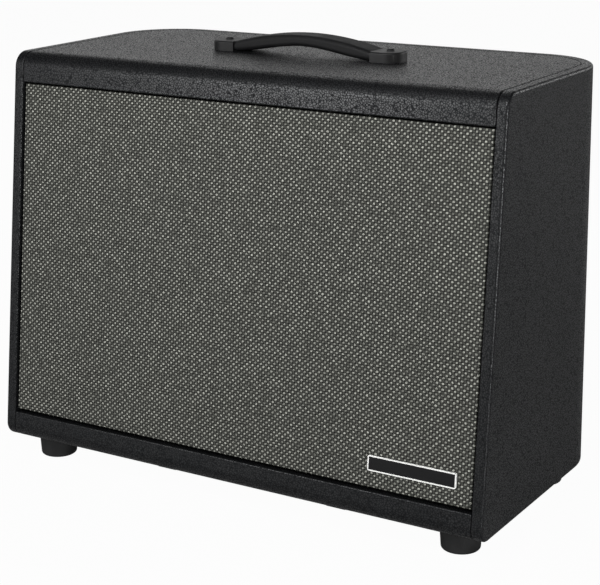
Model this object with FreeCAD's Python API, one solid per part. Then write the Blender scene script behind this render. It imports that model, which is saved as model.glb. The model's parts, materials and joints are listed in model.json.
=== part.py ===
import FreeCAD, Part
import math
import os

from FreeCAD import Placement, Rotation, Vector

# Guitar speaker cabinet with a raked front, one twelve-inch coaxial driver and a built-in amplifier.
# Millimetres. X runs to the right seen from the front, Y to the back, Z up from the floor.
# The origin is on the floor, midway between the sides and midway between the front and the back.

# Shell of the cabinet, without feet and handle
cabinet_width = 560.0
cabinet_height = 408.0
cabinet_depth = 290.0
front_setback = 41.5
rear_corner_radius = 71.0
side_thickness = 11.5
panel_thickness = 15.0
top_nose_radius = 16.5
bottom_nose_radius = 14.0
edge_roundover = 3.0
seam_roundover = 1.5
seam_gap = 0.4

# Front frame: rails above and below the grille, and the board that carries the driver
top_rail_height = 30.4
bottom_rail_height = 28.6
rail_depth = 20.0
rail_edge_radius = 1.2
baffle_thickness = 15.0

# Grille
grille_recess = 2.5
grille_gap = 1.5
grille_foot_gap = 2.8
cloth_thickness = 0.8
grille_edge_radius = 2.6
grille_frame_width = 12.0
grille_pad_thickness = 2.0
grille_pad_length = 40.0
grille_pad_width = 9.0
badge_width = 92.0
badge_height = 15.0
badge_thickness = 1.6
badge_corner_radius = 2.0
badge_side_inset = 29.0
badge_foot_inset = 48.2

# Back
back_recess = 20.0
back_thickness = 12.0
back_gap = 0.5
cleat_width = 26.0
cleat_depth = 18.0
back_screw_inset = 12.0
back_screw_rows = 4

# Carrying handle
handle_length = 220.0
handle_set_back = 20.0
handle_rise = 21.4
strap_width = 30.0
strap_thickness = 11.5
strap_end_thickness = 10.0
strap_edge_radius = 4.5
strap_end_height = 0.3
strap_foot_length = 10.0
strap_foot_rise = 0.8
cap_length = 30.0
cap_height = 10.3
cap_width = 34.0
cap_corner_radius = 14.0
cap_edge_radius = 2.0
cap_pocket_depth = 10.0
cap_pocket_gap = 0.3

# Feet
foot_height = 24.0
foot_top_diameter = 40.5
foot_bottom_diameter = 37.5
foot_edge_radius = 3.0
foot_side_inset = 39.5
foot_front_inset = 38.5
foot_rear_inset = 60.0
foot_bore_depth = 14.0
foot_bore_gap = 1.0

# Tilt-back bail under the cabinet
bail_wire_diameter = 8.0
bail_width = 240.0
bail_length = 120.0
bail_corner_radius = 20.0
bail_elbow_radius = 8.0
bail_drop = 10.0
bail_pivot_inset = 48.0
bail_pin_length = 27.0
bail_bore_gap = 0.05
bail_side_gap = 0.4
pivot_block_width = 20.0
pivot_block_length = 40.0
pivot_block_wall = 4.0

# Screws, all of the same make
screw_diameter = 4.0
screw_head_diameter = 8.0
screw_head_height = 2.2
screw_gap = 0.05
screw_bite = 12.0
screw_bite_spare = 1.0

# Coaxial driver. Depths run back from the front face of the baffle board.
driver_diameter = 310.0
driver_cutout = 284.0
driver_bolt_circle = 297.0
driver_bolt_count = 8
driver_bolt_diameter = 5.0
bolt_head_height = 3.0
tee_nut_flange = 16.0
tee_nut_wall = 1.0
tee_nut_thickness = 1.6
tee_nut_barrel = 9.0
gasket_thickness = 1.5
flange_thickness = 6.0
basket_depth = 80.0
basket_wall = 3.0
basket_window_count = 6
basket_window_angle = 36.0
basket_rim_gap = 2.0
basket_tub_diameter = 168.0
spider_ledge_depth = 66.0
spider_ledge_width = 10.0
spider_thickness = 0.6
spider_roll = 1.6
spider_roll_count = 5
surround_width = 19.0
surround_roll = 2.4
surround_roll_count = 3
surround_thickness = 0.6
surround_landing = 4.0
cone_diameter = 232.0
cone_depth = 46.0
cone_wall = 1.2
cone_flare = 0.12
cone_steps = 8
suspension_gap = 0.4
former_diameter = 64.0
former_wall = 0.8
coil_wall = 0.8
coil_length = 12.0
coil_overhang = 2.0
coil_gap = 0.8
top_plate_diameter = 156.0
top_plate_thickness = 8.0
magnet_diameter = 162.0
magnet_bore = 94.0
magnet_thickness = 20.0
back_plate_diameter = 152.0
back_plate_thickness = 8.0
throat_diameter = 26.0
waveguide_wall = 1.5
waveguide_mouth_diameter = 56.0
waveguide_length = 34.0
waveguide_steps = 6
hf_body_diameter = 96.0
hf_body_length = 32.0
hf_edge_radius = 6.0
terminal_width = 30.0
terminal_depth = 14.0
terminal_thickness = 8.0
lead_diameter = 3.0
lead_spacing = 7.0
lead_bend_radius = 12.0
lead_rise = 24.0

# Amplifier behind the back panel
control_side_inset = 33.5
control_height = 96.0
control_top_inset = 5.0
control_thickness = 2.0
control_lap = 13.0
control_screw_columns = 4
control_screw_inset = 6.0
chassis_depth = 85.0
chassis_wall = 1.5
chassis_gap = 1.0
post_diameter = 7.0
post_height = 6.0
board_thickness = 1.6
board_margin = 12.0
heat_sink_gap = 10.5
heat_sink_depth = 34.0
heat_sink_height = 42.0
heat_sink_base = 5.0
heat_sink_fin = 2.5
heat_sink_fin_count = 8
capacitor_diameter = 22.0
capacitor_height = 36.0
capacitor_spacing = 26.0
transformer_width = 46.0
transformer_depth = 34.0
transformer_height = 36.0
transformer_core_lap = 7.0

# Controls and sockets on the panel, placed in from its ends, with knobs and button evenly between them
middle_control_count = 4
knob_diameter = 16.0
knob_tip_diameter = 13.0
knob_height = 13.0
knob_flute_count = 12
knob_flute_diameter = 1.6
knob_pointer_width = 1.4
knob_pointer_depth = 0.6
knob_float = 0.5
stem_diameter = 6.0
stem_gap = 0.05
stem_depth = 8.0
bush_wall = 0.9
pot_size = 17.0
pot_depth = 10.0
nut_height = 2.2
nut_flats = 11.0
button_diameter = 8.0
button_proud = 5.0
button_travel = 2.5
button_gap = 0.4
button_body_size = 12.0
link_jack_inset = 33.0
jack_pitch = 34.0
jack_bore = 6.5
jack_bore_length = 24.0
jack_bush_diameter = 11.0
jack_bush_proud = 1.0
jack_body_size = 19.0
jack_body_depth = 28.0
jack_nut_flats = 15.0
inlet_inset = 39.0
inlet_width = 27.5
inlet_height = 20.0
inlet_flange = 6.0
inlet_flange_thickness = 2.0
inlet_depth = 24.0
inlet_cavity_width = 24.0
inlet_cavity_height = 16.4
inlet_cavity_depth = 18.0
inlet_cavity_chamfer = 5.0
inlet_pin_width = 2.0
inlet_pin_height = 4.0
inlet_pin_length = 12.0
inlet_pin_spread = 7.0
rocker_pitch = 44.0
rocker_width = 10.0
rocker_length = 19.0
rocker_tilt = 8.0
rocker_proud = 4.0
rocker_sink = 4.0
rocker_gap = 0.5
rocker_pin_diameter = 2.4
rocker_pin_gap = 0.05
rocker_pin_length = 1.6
rocker_body_wall = 2.0
rocker_body_depth = 18.0
rocker_bezel_lap = 1.5
rocker_bezel_height = 2.0

# Room that a cutting shape is given past the solid that it cuts, wide and narrow
overrun = 40.0
cut_past = 1.0

# Places worked out from the sizes above
lean = math.atan(front_setback / cabinet_height)
base = foot_height
crown = foot_height + cabinet_height
rear = cabinet_depth / 2
nose_reach = bottom_nose_radius * ((1 + math.sin(lean)) / math.cos(lean) - 1)
front = -cabinet_depth / 2 - nose_reach
slope_length = cabinet_height / math.cos(lean)
inner_half = cabinet_width / 2 - side_thickness - seam_gap
corner_start = cabinet_width / 2 - rear_corner_radius
grille_top = slope_length - top_rail_height
driver_height = (bottom_rail_height + grille_top) / 2
back_face = rear - back_recess
control_middle = crown - panel_thickness - control_top_inset - control_height / 2
control_face = back_face + control_thickness
control_width = 2 * (corner_start - back_gap - control_side_inset)
inlet_place = -control_width / 2 + inlet_inset
rocker_place = inlet_place + rocker_pitch
link_jack_place = control_width / 2 - link_jack_inset
jack_places = {"input_jack": link_jack_place - jack_pitch, "link_jack": link_jack_place}
control_pitch = (jack_places["input_jack"] - rocker_place) / (middle_control_count + 1)
button_place = rocker_place + control_pitch
knob_places = {"low_cut_knob": button_place + control_pitch, "voicing_knob": button_place + 2 * control_pitch,
               "volume_knob": button_place + 3 * control_pitch}

front_plane = Placement(Vector(0, front, base), Rotation(Vector(1, 0, 0), -math.degrees(lean)))


def on_front(shape):
    """Sets a shape drawn upright at the origin onto the leaning front, Y being the depth behind it."""
    placed = shape.copy()
    placed.Placement = front_plane.multiply(placed.Placement)
    return placed


def block(x_range, y_range, z_range):
    corner = Vector(x_range[0], y_range[0], z_range[0])
    return Part.makeBox(x_range[1] - x_range[0], y_range[1] - y_range[0], z_range[1] - z_range[0], corner)


def rod(diameter, start, end):
    return Part.makeCylinder(diameter / 2, (end - start).Length, start, end - start)


def ring(outer, inner, start, end):
    return rod(outer, start, end).cut(rod(inner, start, end))


def hexagon(flats, start, end):
    corners = [Vector(flats / math.sqrt(3), 0, 0)]
    for turn in range(1, 7):
        corners.append(Rotation(Vector(0, 0, 1), 60 * turn).multVec(corners[0]))
    solid = Part.Face(Part.makePolygon(corners)).extrude(Vector(0, 0, (end - start).Length))
    solid.Placement = Placement(start, Rotation(Vector(0, 0, 1), end - start))
    return solid


def joined(solids):
    return solids[0].multiFuse(solids[1:]).removeSplitter()


def group(solids):
    return Part.makeCompound(solids)


def rounded(solid, radius, chosen):
    """Rounds the edges for which the test answers yes."""
    return solid.makeFillet(radius, [edge for edge in solid.Edges if chosen(edge)])


def edge_points(edge):
    first, last = edge.ParameterRange
    return [edge.valueAt(first + (last - first) * share) for share in (0.0, 0.5, 1.0)]


def runs_along(edge, axis):
    points = edge_points(edge)
    return (points[2] - points[0]).cross(axis).Length < 1e-6 * edge.Length


def at(value, place):
    return abs(value - place) < 1e-4


# Cabinet shell

def plan_prism(inset):
    """The cabinet seen from above, drawn in by the inset: round rear corners, open past the front."""
    half = cabinet_width / 2 - inset
    back = rear - inset
    start = front - overrun
    corner_y = rear - rear_corner_radius
    bulge = (rear_corner_radius - inset) * math.sqrt(0.5)
    right_arc = Part.Arc(Vector(half, corner_y, 0), Vector(corner_start + bulge, corner_y + bulge, 0),
                         Vector(corner_start, back, 0))
    left_arc = Part.Arc(Vector(-corner_start, back, 0), Vector(-corner_start - bulge, corner_y + bulge, 0),
                        Vector(-half, corner_y, 0))
    edges = [Part.LineSegment(Vector(-half, start, 0), Vector(half, start, 0)),
             Part.LineSegment(Vector(half, start, 0), Vector(half, corner_y, 0)),
             right_arc,
             Part.LineSegment(Vector(corner_start, back, 0), Vector(-corner_start, back, 0)),
             left_arc,
             Part.LineSegment(Vector(-half, corner_y, 0), Vector(-half, start, 0))]
    outline = Part.Wire([edge.toShape() for edge in edges])
    return Part.Face(outline).extrude(Vector(0, 0, crown + overrun))


def on_plan_line(edge, inset):
    """Tells whether an edge follows the plan outline at this inset, and isn't an upright one."""
    corner_y = rear - rear_corner_radius
    points = edge_points(edge)
    if runs_along(edge, Vector(0, 0, 1)):
        return False
    for point in points:
        across = abs(point.x)
        if point.y <= corner_y:
            distance = across - (cabinet_width / 2 - inset)
        elif across <= corner_start:
            distance = point.y - (rear - inset)
        else:
            distance = math.hypot(across - corner_start, point.y - corner_y) - (rear_corner_radius - inset)
        if abs(distance) > 1e-3:
            return False
    return True


def envelope():
    """The whole outer form: side profile with a leaning front and two noses, cut to the plan outline."""
    half = cabinet_width / 2 + overrun
    corners = [Vector(-half, front, base), Vector(-half, front + front_setback, crown),
               Vector(-half, rear + overrun, crown), Vector(-half, rear + overrun, base),
               Vector(-half, front, base)]
    profile = Part.Face(Part.makePolygon(corners)).extrude(Vector(2 * half, 0, 0))
    middle = (front + rear) / 2
    across = Vector(1, 0, 0)

    def front_edge(edge, height):
        place = edge.CenterOfMass
        return runs_along(edge, across) and place.y < middle and at(place.z, height)

    profile = rounded(profile, top_nose_radius, lambda edge: front_edge(edge, crown))
    profile = rounded(profile, bottom_nose_radius, lambda edge: front_edge(edge, base))
    form = profile.common(plan_prism(0))
    return rounded(form, edge_roundover, lambda edge: on_plan_line(edge, 0))


def shell_wall(form):
    """The upright wall of sides and rear corners, rounded off along the seam."""
    wall = form.cut(plan_prism(side_thickness))
    return rounded(wall, seam_roundover, lambda edge: on_plan_line(edge, side_thickness))


def shell_core(form):
    """All that lies within the wall, rounded off along the same seam."""
    inset = side_thickness + seam_gap
    core = form.common(plan_prism(inset))
    return rounded(core, seam_roundover, lambda edge: on_plan_line(edge, inset))


def far_block(z_range):
    reach = cabinet_width + cabinet_depth
    return block((-reach, reach), (-reach, reach), z_range)


def side_panel(wall, side):
    reach = cabinet_width
    span = sorted((side * corner_start, side * reach))
    return wall.common(block(span, (-reach, reach), (0, crown + overrun)))


def rear_rail(wall, z_range):
    half = corner_start - seam_gap
    return wall.common(block((-half, half), (0, rear + overrun), z_range))


def front_slab(depth_range, height_range):
    reach = cabinet_width
    return on_front(block((-reach, reach), depth_range, height_range))


def inner_space():
    return far_block((base + panel_thickness, crown - panel_thickness))


def front_rail(core, height_range, grille_side):
    """A rail across the front, cut from the core, with its front edge beside the grille rounded."""
    rail = core.common(front_slab((-overrun, rail_depth), height_range)).common(inner_space())
    spot = front_plane.multVec(Vector(0, 0, grille_side))

    def beside_grille(edge):
        place = edge.CenterOfMass
        return runs_along(edge, Vector(1, 0, 0)) and at(place.y, spot.y) and at(place.z, spot.z)

    return rounded(rail, rail_edge_radius, beside_grille)


def top_rail(core):
    return front_rail(core, (grille_top, slope_length + overrun), grille_top)


def bottom_rail(core):
    return front_rail(core, (-overrun, bottom_rail_height), bottom_rail_height)


def foot_places():
    across = cabinet_width / 2 - foot_side_inset
    ahead = -cabinet_depth / 2 + foot_front_inset
    behind = rear - foot_rear_inset
    return {"foot_front_left": (-across, ahead), "foot_front_right": (across, ahead),
            "foot_rear_left": (-across, behind), "foot_rear_right": (across, behind)}


def handle_screw_places():
    across = handle_length / 2 - cap_length / 2
    return [(-across, handle_set_back), (across, handle_set_back)]


def pivot_places():
    across = bail_width / 2 - bail_elbow_radius - bail_side_gap - pivot_block_width / 2
    return [(-across, bail_axis().y), (across, bail_axis().y)]


def pivot_screw_places():
    reach = pivot_block_length / 2 - screw_head_diameter / 2 - cut_past
    return [(x, y + side * reach) for x, y in pivot_places() for side in (-1, 1)]


def top_panel(core):
    slab = core.common(far_block((crown - panel_thickness, crown + overrun)))
    for x, y in handle_screw_places():
        slab = slab.cut(screw_hole(Vector(x, y, crown), Vector(0, 0, -1), screw_bite))
    return slab


def bottom_panel(core):
    slab = core.common(far_block((0, base + panel_thickness)))
    for x, y in list(foot_places().values()) + pivot_screw_places():
        slab = slab.cut(screw_hole(Vector(x, y, base), Vector(0, 0, 1), screw_bite))
    return slab


# Screws

def screw(seat, inward, grip):
    """A domed screw whose head rests on the seat and whose shank runs inward past the grip."""
    shank = rod(screw_diameter, seat, seat + inward * (grip + screw_bite - screw_bite_spare))
    dome_drop = screw_head_height / 2
    lower = rod(screw_head_diameter, seat, seat - inward * dome_drop)
    upper = Part.makeCone(screw_head_diameter / 2, screw_head_diameter / 3, dome_drop,
                          seat - inward * dome_drop, inward * -1)
    return joined([shank, lower, upper])


def screw_hole(seat, inward, depth):
    return rod(screw_diameter + 2 * screw_gap, seat - inward * cut_past, seat + inward * depth)


# Front frame and grille, drawn upright with Y as the depth behind the front plane

def driver_bolt_places():
    places = []
    for number in range(driver_bolt_count):
        angle = 2 * math.pi * (number + 0.5) / driver_bolt_count
        reach = driver_bolt_circle / 2
        places.append((reach * math.sin(angle), driver_height + reach * math.cos(angle)))
    return places


def baffle_board(core):
    slab = front_slab((rail_depth, rail_depth + baffle_thickness), (-overrun, slope_length + overrun))
    board = core.common(slab).common(inner_space())
    start = rail_depth - cut_past
    end = rail_depth + baffle_thickness + cut_past
    cutout = rod(driver_cutout, Vector(0, start, driver_height), Vector(0, end, driver_height))
    board = board.cut(on_front(cutout))
    bore = tee_nut_bore() + 2 * tee_nut_wall + 2 * screw_gap
    for x, height in driver_bolt_places():
        board = board.cut(on_front(rod(bore, Vector(x, start, height), Vector(x, end, height))))
    return board


def grille_tray(inset, depth_range, radius):
    """A flat block as wide as the grille less the inset, with its front edges rounded."""
    half = cabinet_width / 2 - side_thickness - grille_gap - inset
    heights = (bottom_rail_height + grille_foot_gap + inset, grille_top - grille_gap - inset)
    tray = block((-half, half), depth_range, heights)
    return rounded(tray, radius, lambda edge: at(edge.CenterOfMass.y, depth_range[0]))


def grille_back():
    return rail_depth - grille_pad_thickness


def grille_frame():
    start = grille_recess + cloth_thickness
    plate = grille_tray(cloth_thickness, (start, grille_back()), grille_edge_radius - cloth_thickness)
    half = cabinet_width / 2 - side_thickness - grille_gap - cloth_thickness - grille_frame_width
    heights = (bottom_rail_height + grille_foot_gap + cloth_thickness + grille_frame_width,
               grille_top - grille_gap - cloth_thickness - grille_frame_width)
    opening = block((-half, half), (start - cut_past, grille_back() + cut_past), heights)
    return on_front(plate.cut(opening))


def grille_cloth():
    outer = grille_tray(0, (grille_recess, grille_back()), grille_edge_radius)
    start = grille_recess + cloth_thickness
    inner = grille_tray(cloth_thickness, (start, grille_back() + overrun),
                        grille_edge_radius - cloth_thickness)
    return on_front(outer.cut(inner))


def grille_pads():
    """Strips of hook fastener between the grille frame and the baffle board, one near each corner."""
    across = cabinet_width / 2 - side_thickness - grille_gap - grille_pad_length
    low = bottom_rail_height + grille_foot_gap + cloth_thickness + grille_frame_width / 2
    high = grille_top - grille_gap - cloth_thickness - grille_frame_width / 2
    pads = []
    for x in (-across, across):
        for height in (low, high):
            pads.append(on_front(block((x - grille_pad_length / 2, x + grille_pad_length / 2),
                                       (grille_back(), rail_depth),
                                       (height - grille_pad_width / 2, height + grille_pad_width / 2))))
    return group(pads)


def badge_plate():
    right = cabinet_width / 2 - badge_side_inset
    plate = block((right - badge_width, right), (grille_recess - badge_thickness, grille_recess),
                  (badge_foot_inset, badge_foot_inset + badge_height))
    return on_front(rounded(plate, badge_corner_radius, lambda edge: runs_along(edge, Vector(0, 1, 0))))


# Coaxial driver, turned about the Y axis of the front frame

def depth(value):
    return rail_depth + value


def turned(points, angle=360.0):
    """Turns a closed outline of (radius, depth behind the baffle face) about the driver's axis."""
    corners = [Vector(radius, depth(place), driver_height) for radius, place in points]
    outline = Part.Face(Part.makePolygon(corners + corners[:1]))
    return outline.revolve(Vector(0, 0, driver_height), Vector(0, 1, 0), angle)


def about_driver(shape, angle):
    spun = shape.copy()
    spun.rotate(Vector(0, 0, driver_height), Vector(0, 1, 0), angle)
    return spun


def basket_radius(place):
    """Outer radius of the basket's sloping legs at a depth."""
    top = driver_cutout / 2 - basket_rim_gap
    bottom = basket_tub_diameter / 2
    return top + (bottom - top) * (place + gasket_thickness) / (spider_ledge_depth + gasket_thickness)


def flange_front():
    return -gasket_thickness - flange_thickness


def edge_step():
    """Depth of the step inside the flange that the pleated edge is glued to."""
    return flange_front() + flange_thickness / 2


def surround_outer():
    return cone_diameter / 2 + suspension_gap + surround_width


def basket_hole():
    """Radius of the hole in the tub's floor, wider than the gap in the top plate."""
    return gap_radius() + coil_gap


def speaker_basket():
    """A cast frame: bolted flange, sloping legs between windows, and a tub that holds the magnet."""
    flange_back = -gasket_thickness
    top = basket_radius(flange_back)
    step_in = surround_outer() - surround_landing
    tub = basket_tub_diameter / 2
    tub_in = tub - basket_wall
    ledge_in = tub - spider_ledge_width
    frame = turned([(driver_diameter / 2, flange_front()), (driver_diameter / 2, flange_back),
                    (top, flange_back), (tub, spider_ledge_depth), (tub, basket_depth),
                    (basket_hole(), basket_depth), (basket_hole(), basket_depth - basket_wall),
                    (tub_in, basket_depth - basket_wall), (tub_in, spider_ledge_depth + basket_wall),
                    (ledge_in, spider_ledge_depth + basket_wall), (ledge_in, spider_ledge_depth),
                    (tub_in, spider_ledge_depth), (top - basket_wall, flange_back),
                    (surround_outer(), flange_back), (step_in, edge_step()),
                    (surround_outer(), edge_step()), (surround_outer(), flange_front())])
    lower = spider_ledge_depth - 2 * basket_wall
    upper = baffle_thickness
    window = turned([(basket_radius(upper) - 3 * basket_wall, upper),
                     (basket_radius(upper) + basket_wall, upper),
                     (basket_radius(lower) + basket_wall, lower),
                     (basket_radius(lower) - 3 * basket_wall, lower)], basket_window_angle)
    pitch = 360.0 / basket_window_count
    for number in range(basket_window_count):
        frame = frame.cut(about_driver(window, pitch * number + (pitch - basket_window_angle) / 2))
    for x, height in driver_bolt_places():
        frame = frame.cut(rod(tee_nut_bore(), Vector(x, depth(flange_front() - cut_past), height),
                              Vector(x, depth(flange_back + cut_past), height)))
    return on_front(frame)


def speaker_gasket():
    start = Vector(0, depth(-gasket_thickness), driver_height)
    end = Vector(0, depth(0), driver_height)
    strip = ring(driver_diameter, driver_cutout, start, end)
    for x, height in driver_bolt_places():
        strip = strip.cut(rod(tee_nut_bore(), Vector(x, depth(-gasket_thickness - cut_past), height),
                              Vector(x, depth(cut_past), height)))
    return on_front(strip)


def speaker_bolts():
    seat = flange_front()
    bolts = []
    for x, height in driver_bolt_places():
        head = Part.makeCylinder(driver_bolt_diameter, bolt_head_height,
                                 Vector(x, depth(seat - bolt_head_height), height), Vector(0, 1, 0))
        shank = rod(driver_bolt_diameter, Vector(x, depth(seat), height),
                    Vector(x, depth(baffle_thickness + tee_nut_thickness), height))
        bolts.append(on_front(joined([head, shank])))
    return group(bolts)


def tee_nut_bore():
    return driver_bolt_diameter + 2 * screw_gap


def tee_nuts():
    bore = tee_nut_bore()
    nuts = []
    for x, height in driver_bolt_places():
        seat = Vector(x, depth(baffle_thickness), height)
        plate = rod(tee_nut_flange, seat, seat + Vector(0, tee_nut_thickness, 0))
        barrel = rod(bore + 2 * tee_nut_wall, seat, seat - Vector(0, tee_nut_barrel, 0))
        hole = rod(bore, seat - Vector(0, baffle_thickness, 0), seat + Vector(0, baffle_thickness, 0))
        nuts.append(on_front(joined([plate, barrel]).cut(hole)))
    return group(nuts)


def rolled_strip(inner, outer, landing, place, roll, count, thickness):
    """A thin ring pressed into concentric rolls, with a flat landing round its outer edge."""
    steps = 4 * count
    front_line = []
    for step in range(steps + 1):
        share = step / steps
        radius = inner + (outer - landing - inner) * share
        front_line.append((radius, place - roll * math.sin(2 * math.pi * count * share)))
    front_line.append((outer, place))
    back_line = [(radius, height + thickness) for radius, height in reversed(front_line)]
    return turned(front_line + back_line)


def speaker_surround():
    """The pleated edge, glued to the step inside the basket's flange."""
    inner = cone_diameter / 2 + suspension_gap
    return on_front(rolled_strip(inner, surround_outer() - suspension_gap, surround_landing,
                                 edge_step() - surround_thickness, surround_roll, surround_roll_count,
                                 surround_thickness))


def cone_front():
    return edge_step() - surround_thickness


def speaker_cone():
    """A paper cone that curves from its rim to the neck over the voice coil's former."""
    rim = cone_diameter / 2
    neck = former_diameter / 2 - former_wall
    front_line = []
    for step in range(cone_steps + 1):
        share = step / cone_steps
        place = cone_front() + cone_depth * (share + cone_flare * math.sin(math.pi * share))
        front_line.append((rim + (neck - rim) * share, place))
    back_line = [(radius, place + cone_wall) for radius, place in reversed(front_line)]
    return on_front(turned(front_line + back_line))


def coil_end():
    """Depth of the voice coil's rear end: the winding is centred in the top plate."""
    return basket_depth + top_plate_thickness / 2 + coil_length / 2


def voice_coil():
    """A paper former glued into the cone's neck, with the winding at its rear end."""
    neck = cone_front() + cone_depth + cone_wall
    inner = former_diameter / 2 - former_wall
    outer = former_diameter / 2
    end = coil_end()
    return on_front(turned([(inner, neck), (outer, neck), (outer, end - coil_length),
                            (outer + coil_wall, end - coil_length), (outer + coil_wall, end),
                            (outer, end), (outer, end + coil_overhang), (inner, end + coil_overhang)]))


def speaker_spider():
    inner = former_diameter / 2 + suspension_gap
    outer = basket_tub_diameter / 2 - basket_wall - suspension_gap
    landing = spider_ledge_width - basket_wall - suspension_gap
    return on_front(rolled_strip(inner, outer, landing, spider_ledge_depth - spider_thickness, spider_roll,
                                 spider_roll_count, spider_thickness))


def gap_radius():
    return former_diameter / 2 + coil_wall + coil_gap


def pole_radius():
    return former_diameter / 2 - former_wall - coil_gap


def plate_back():
    return basket_depth + top_plate_thickness


def magnet_back():
    return plate_back() + magnet_thickness


def speaker_top_plate():
    return on_front(turned([(gap_radius(), basket_depth), (top_plate_diameter / 2, basket_depth),
                            (top_plate_diameter / 2, plate_back()), (gap_radius(), plate_back())]))


def speaker_magnet():
    edge = magnet_thickness / 10
    outer = magnet_diameter / 2
    return on_front(turned([(magnet_bore / 2, plate_back()), (outer - edge, plate_back()),
                            (outer, plate_back() + edge), (outer, magnet_back() - edge),
                            (outer - edge, magnet_back()), (magnet_bore / 2, magnet_back())]))


def speaker_back_plate():
    """Back plate and pole in one piece, bored for the sound of the compression driver."""
    outer = back_plate_diameter / 2
    bore = throat_diameter / 2
    end = magnet_back() + back_plate_thickness
    step = back_plate_thickness / 3
    return on_front(turned([(bore, basket_depth), (pole_radius(), basket_depth),
                            (pole_radius(), magnet_back()), (outer, magnet_back()),
                            (outer, end - step), (outer - step, end), (bore, end)]))


def hf_waveguide():
    """A small flare that stands on the pole inside the voice coil."""
    throat = throat_diameter / 2
    mouth = waveguide_mouth_diameter / 2
    inner = []
    for step in range(waveguide_steps + 1):
        share = step / waveguide_steps
        radius = throat + (mouth - waveguide_wall - throat) * share * share
        inner.append((radius, basket_depth - waveguide_length * share))
    outer = [(radius + waveguide_wall, place) for radius, place in reversed(inner)]
    return on_front(turned(inner + outer))


def hf_driver():
    """The compression driver bolted behind the magnet: a closed can with a rounded rear edge."""
    start = Vector(0, depth(magnet_back() + back_plate_thickness), driver_height)
    can = rod(hf_body_diameter, start, start + Vector(0, hf_body_length, 0))
    end = depth(magnet_back() + back_plate_thickness + hf_body_length)
    return on_front(rounded(can, hf_edge_radius, lambda edge: at(edge.CenterOfMass.y, end)))


def terminal_start():
    """Depth at which the terminal block begins on the basket's tub."""
    return depth(basket_depth - terminal_depth)


def speaker_terminal():
    """A block of insulating board on the right-hand side of the tub, with a post for each lead."""
    start = terminal_start()
    end = start + terminal_depth
    half = terminal_width / 2
    seat = driver_height + basket_tub_diameter / 2
    body = block((-half, half), (start, end), (seat - basket_wall, seat + terminal_thickness))
    tub = rod(basket_tub_diameter, Vector(0, start - cut_past, driver_height),
              Vector(0, end + cut_past, driver_height))
    return on_front(about_driver(body.cut(tub), 90))


def chassis_front():
    return back_face - chassis_depth


def speaker_leads():
    """Two leads that rise from the terminal block and turn back into the amplifier's case."""
    x = (basket_tub_diameter + terminal_thickness) / 2
    bend = lead_bend_radius
    slant = bend * math.sqrt(0.5)
    leads = []
    for side in (-1, 1):
        offset = side * lead_spacing / 2
        foot = front_plane.multVec(Vector(x, terminal_start() + terminal_depth / 2 + offset,
                                          driver_height + terminal_width / 2))
        foot.z += lead_diameter / 2 * math.sin(lean)
        high = chassis_floor() + lead_rise - offset
        turn_start = Vector(x, foot.y, high - bend)
        turn_middle = Vector(x, foot.y + bend - slant, high - bend + slant)
        turn_end = Vector(x, foot.y + bend, high)
        last = Vector(x, chassis_front(), high)
        path = Part.Wire([Part.LineSegment(foot, turn_start).toShape(),
                          Part.Arc(turn_start, turn_middle, turn_end).toShape(),
                          Part.LineSegment(turn_end, last).toShape()])
        section = Part.Wire([Part.Circle(foot, Vector(0, 0, 1), lead_diameter / 2).toShape()])
        leads.append(path.makePipeShell([section], True, True))
    return group(leads)


# Back panel and what it is screwed to

def back_screw_places():
    across = corner_start - back_gap - back_screw_inset
    low = base + panel_thickness + back_gap + back_screw_inset
    high = crown - panel_thickness - back_gap - back_screw_inset
    rows = [low + (high - low) * row / (back_screw_rows - 1) for row in range(back_screw_rows)]
    return [Vector(side * across, back_face, height) for side in (-1, 1) for height in rows]


def back_panel():
    half = corner_start - back_gap
    heights = (base + panel_thickness + back_gap, crown - panel_thickness - back_gap)
    board = block((-half, half), (back_face - back_thickness, back_face), heights)
    opening_half = control_width / 2 - control_lap
    opening_height = control_height / 2 - control_lap
    opening = block((-opening_half, opening_half),
                    (back_face - back_thickness - cut_past, back_face + cut_past),
                    (control_middle - opening_height, control_middle + opening_height))
    board = board.cut(opening)
    for place in back_screw_places() + control_screw_places():
        seat = Vector(place.x, back_face, place.z)
        board = board.cut(screw_hole(seat, Vector(0, -1, 0), 2 * back_thickness))
    return board


def back_cleats():
    """Upright battens glued inside the rear corners, which the back panel is screwed to."""
    ends = plan_prism(side_thickness + seam_gap)
    y_range = (back_face - back_thickness - cleat_depth, back_face - back_thickness)
    cleats = []
    for side in (-1, 1):
        x_range = sorted((side * (corner_start - cleat_width), side * cabinet_width / 2))
        batten = block(x_range, y_range, (base + panel_thickness, crown - panel_thickness)).common(ends)
        for place in back_screw_places():
            seat = Vector(place.x, y_range[1], place.z)
            batten = batten.cut(screw_hole(seat, Vector(0, -1, 0), screw_bite))
        cleats.append(batten)
    return group(cleats)


def back_screws():
    return [screw(place, Vector(0, -1, 0), back_thickness) for place in back_screw_places()]


# Carrying handle

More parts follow.
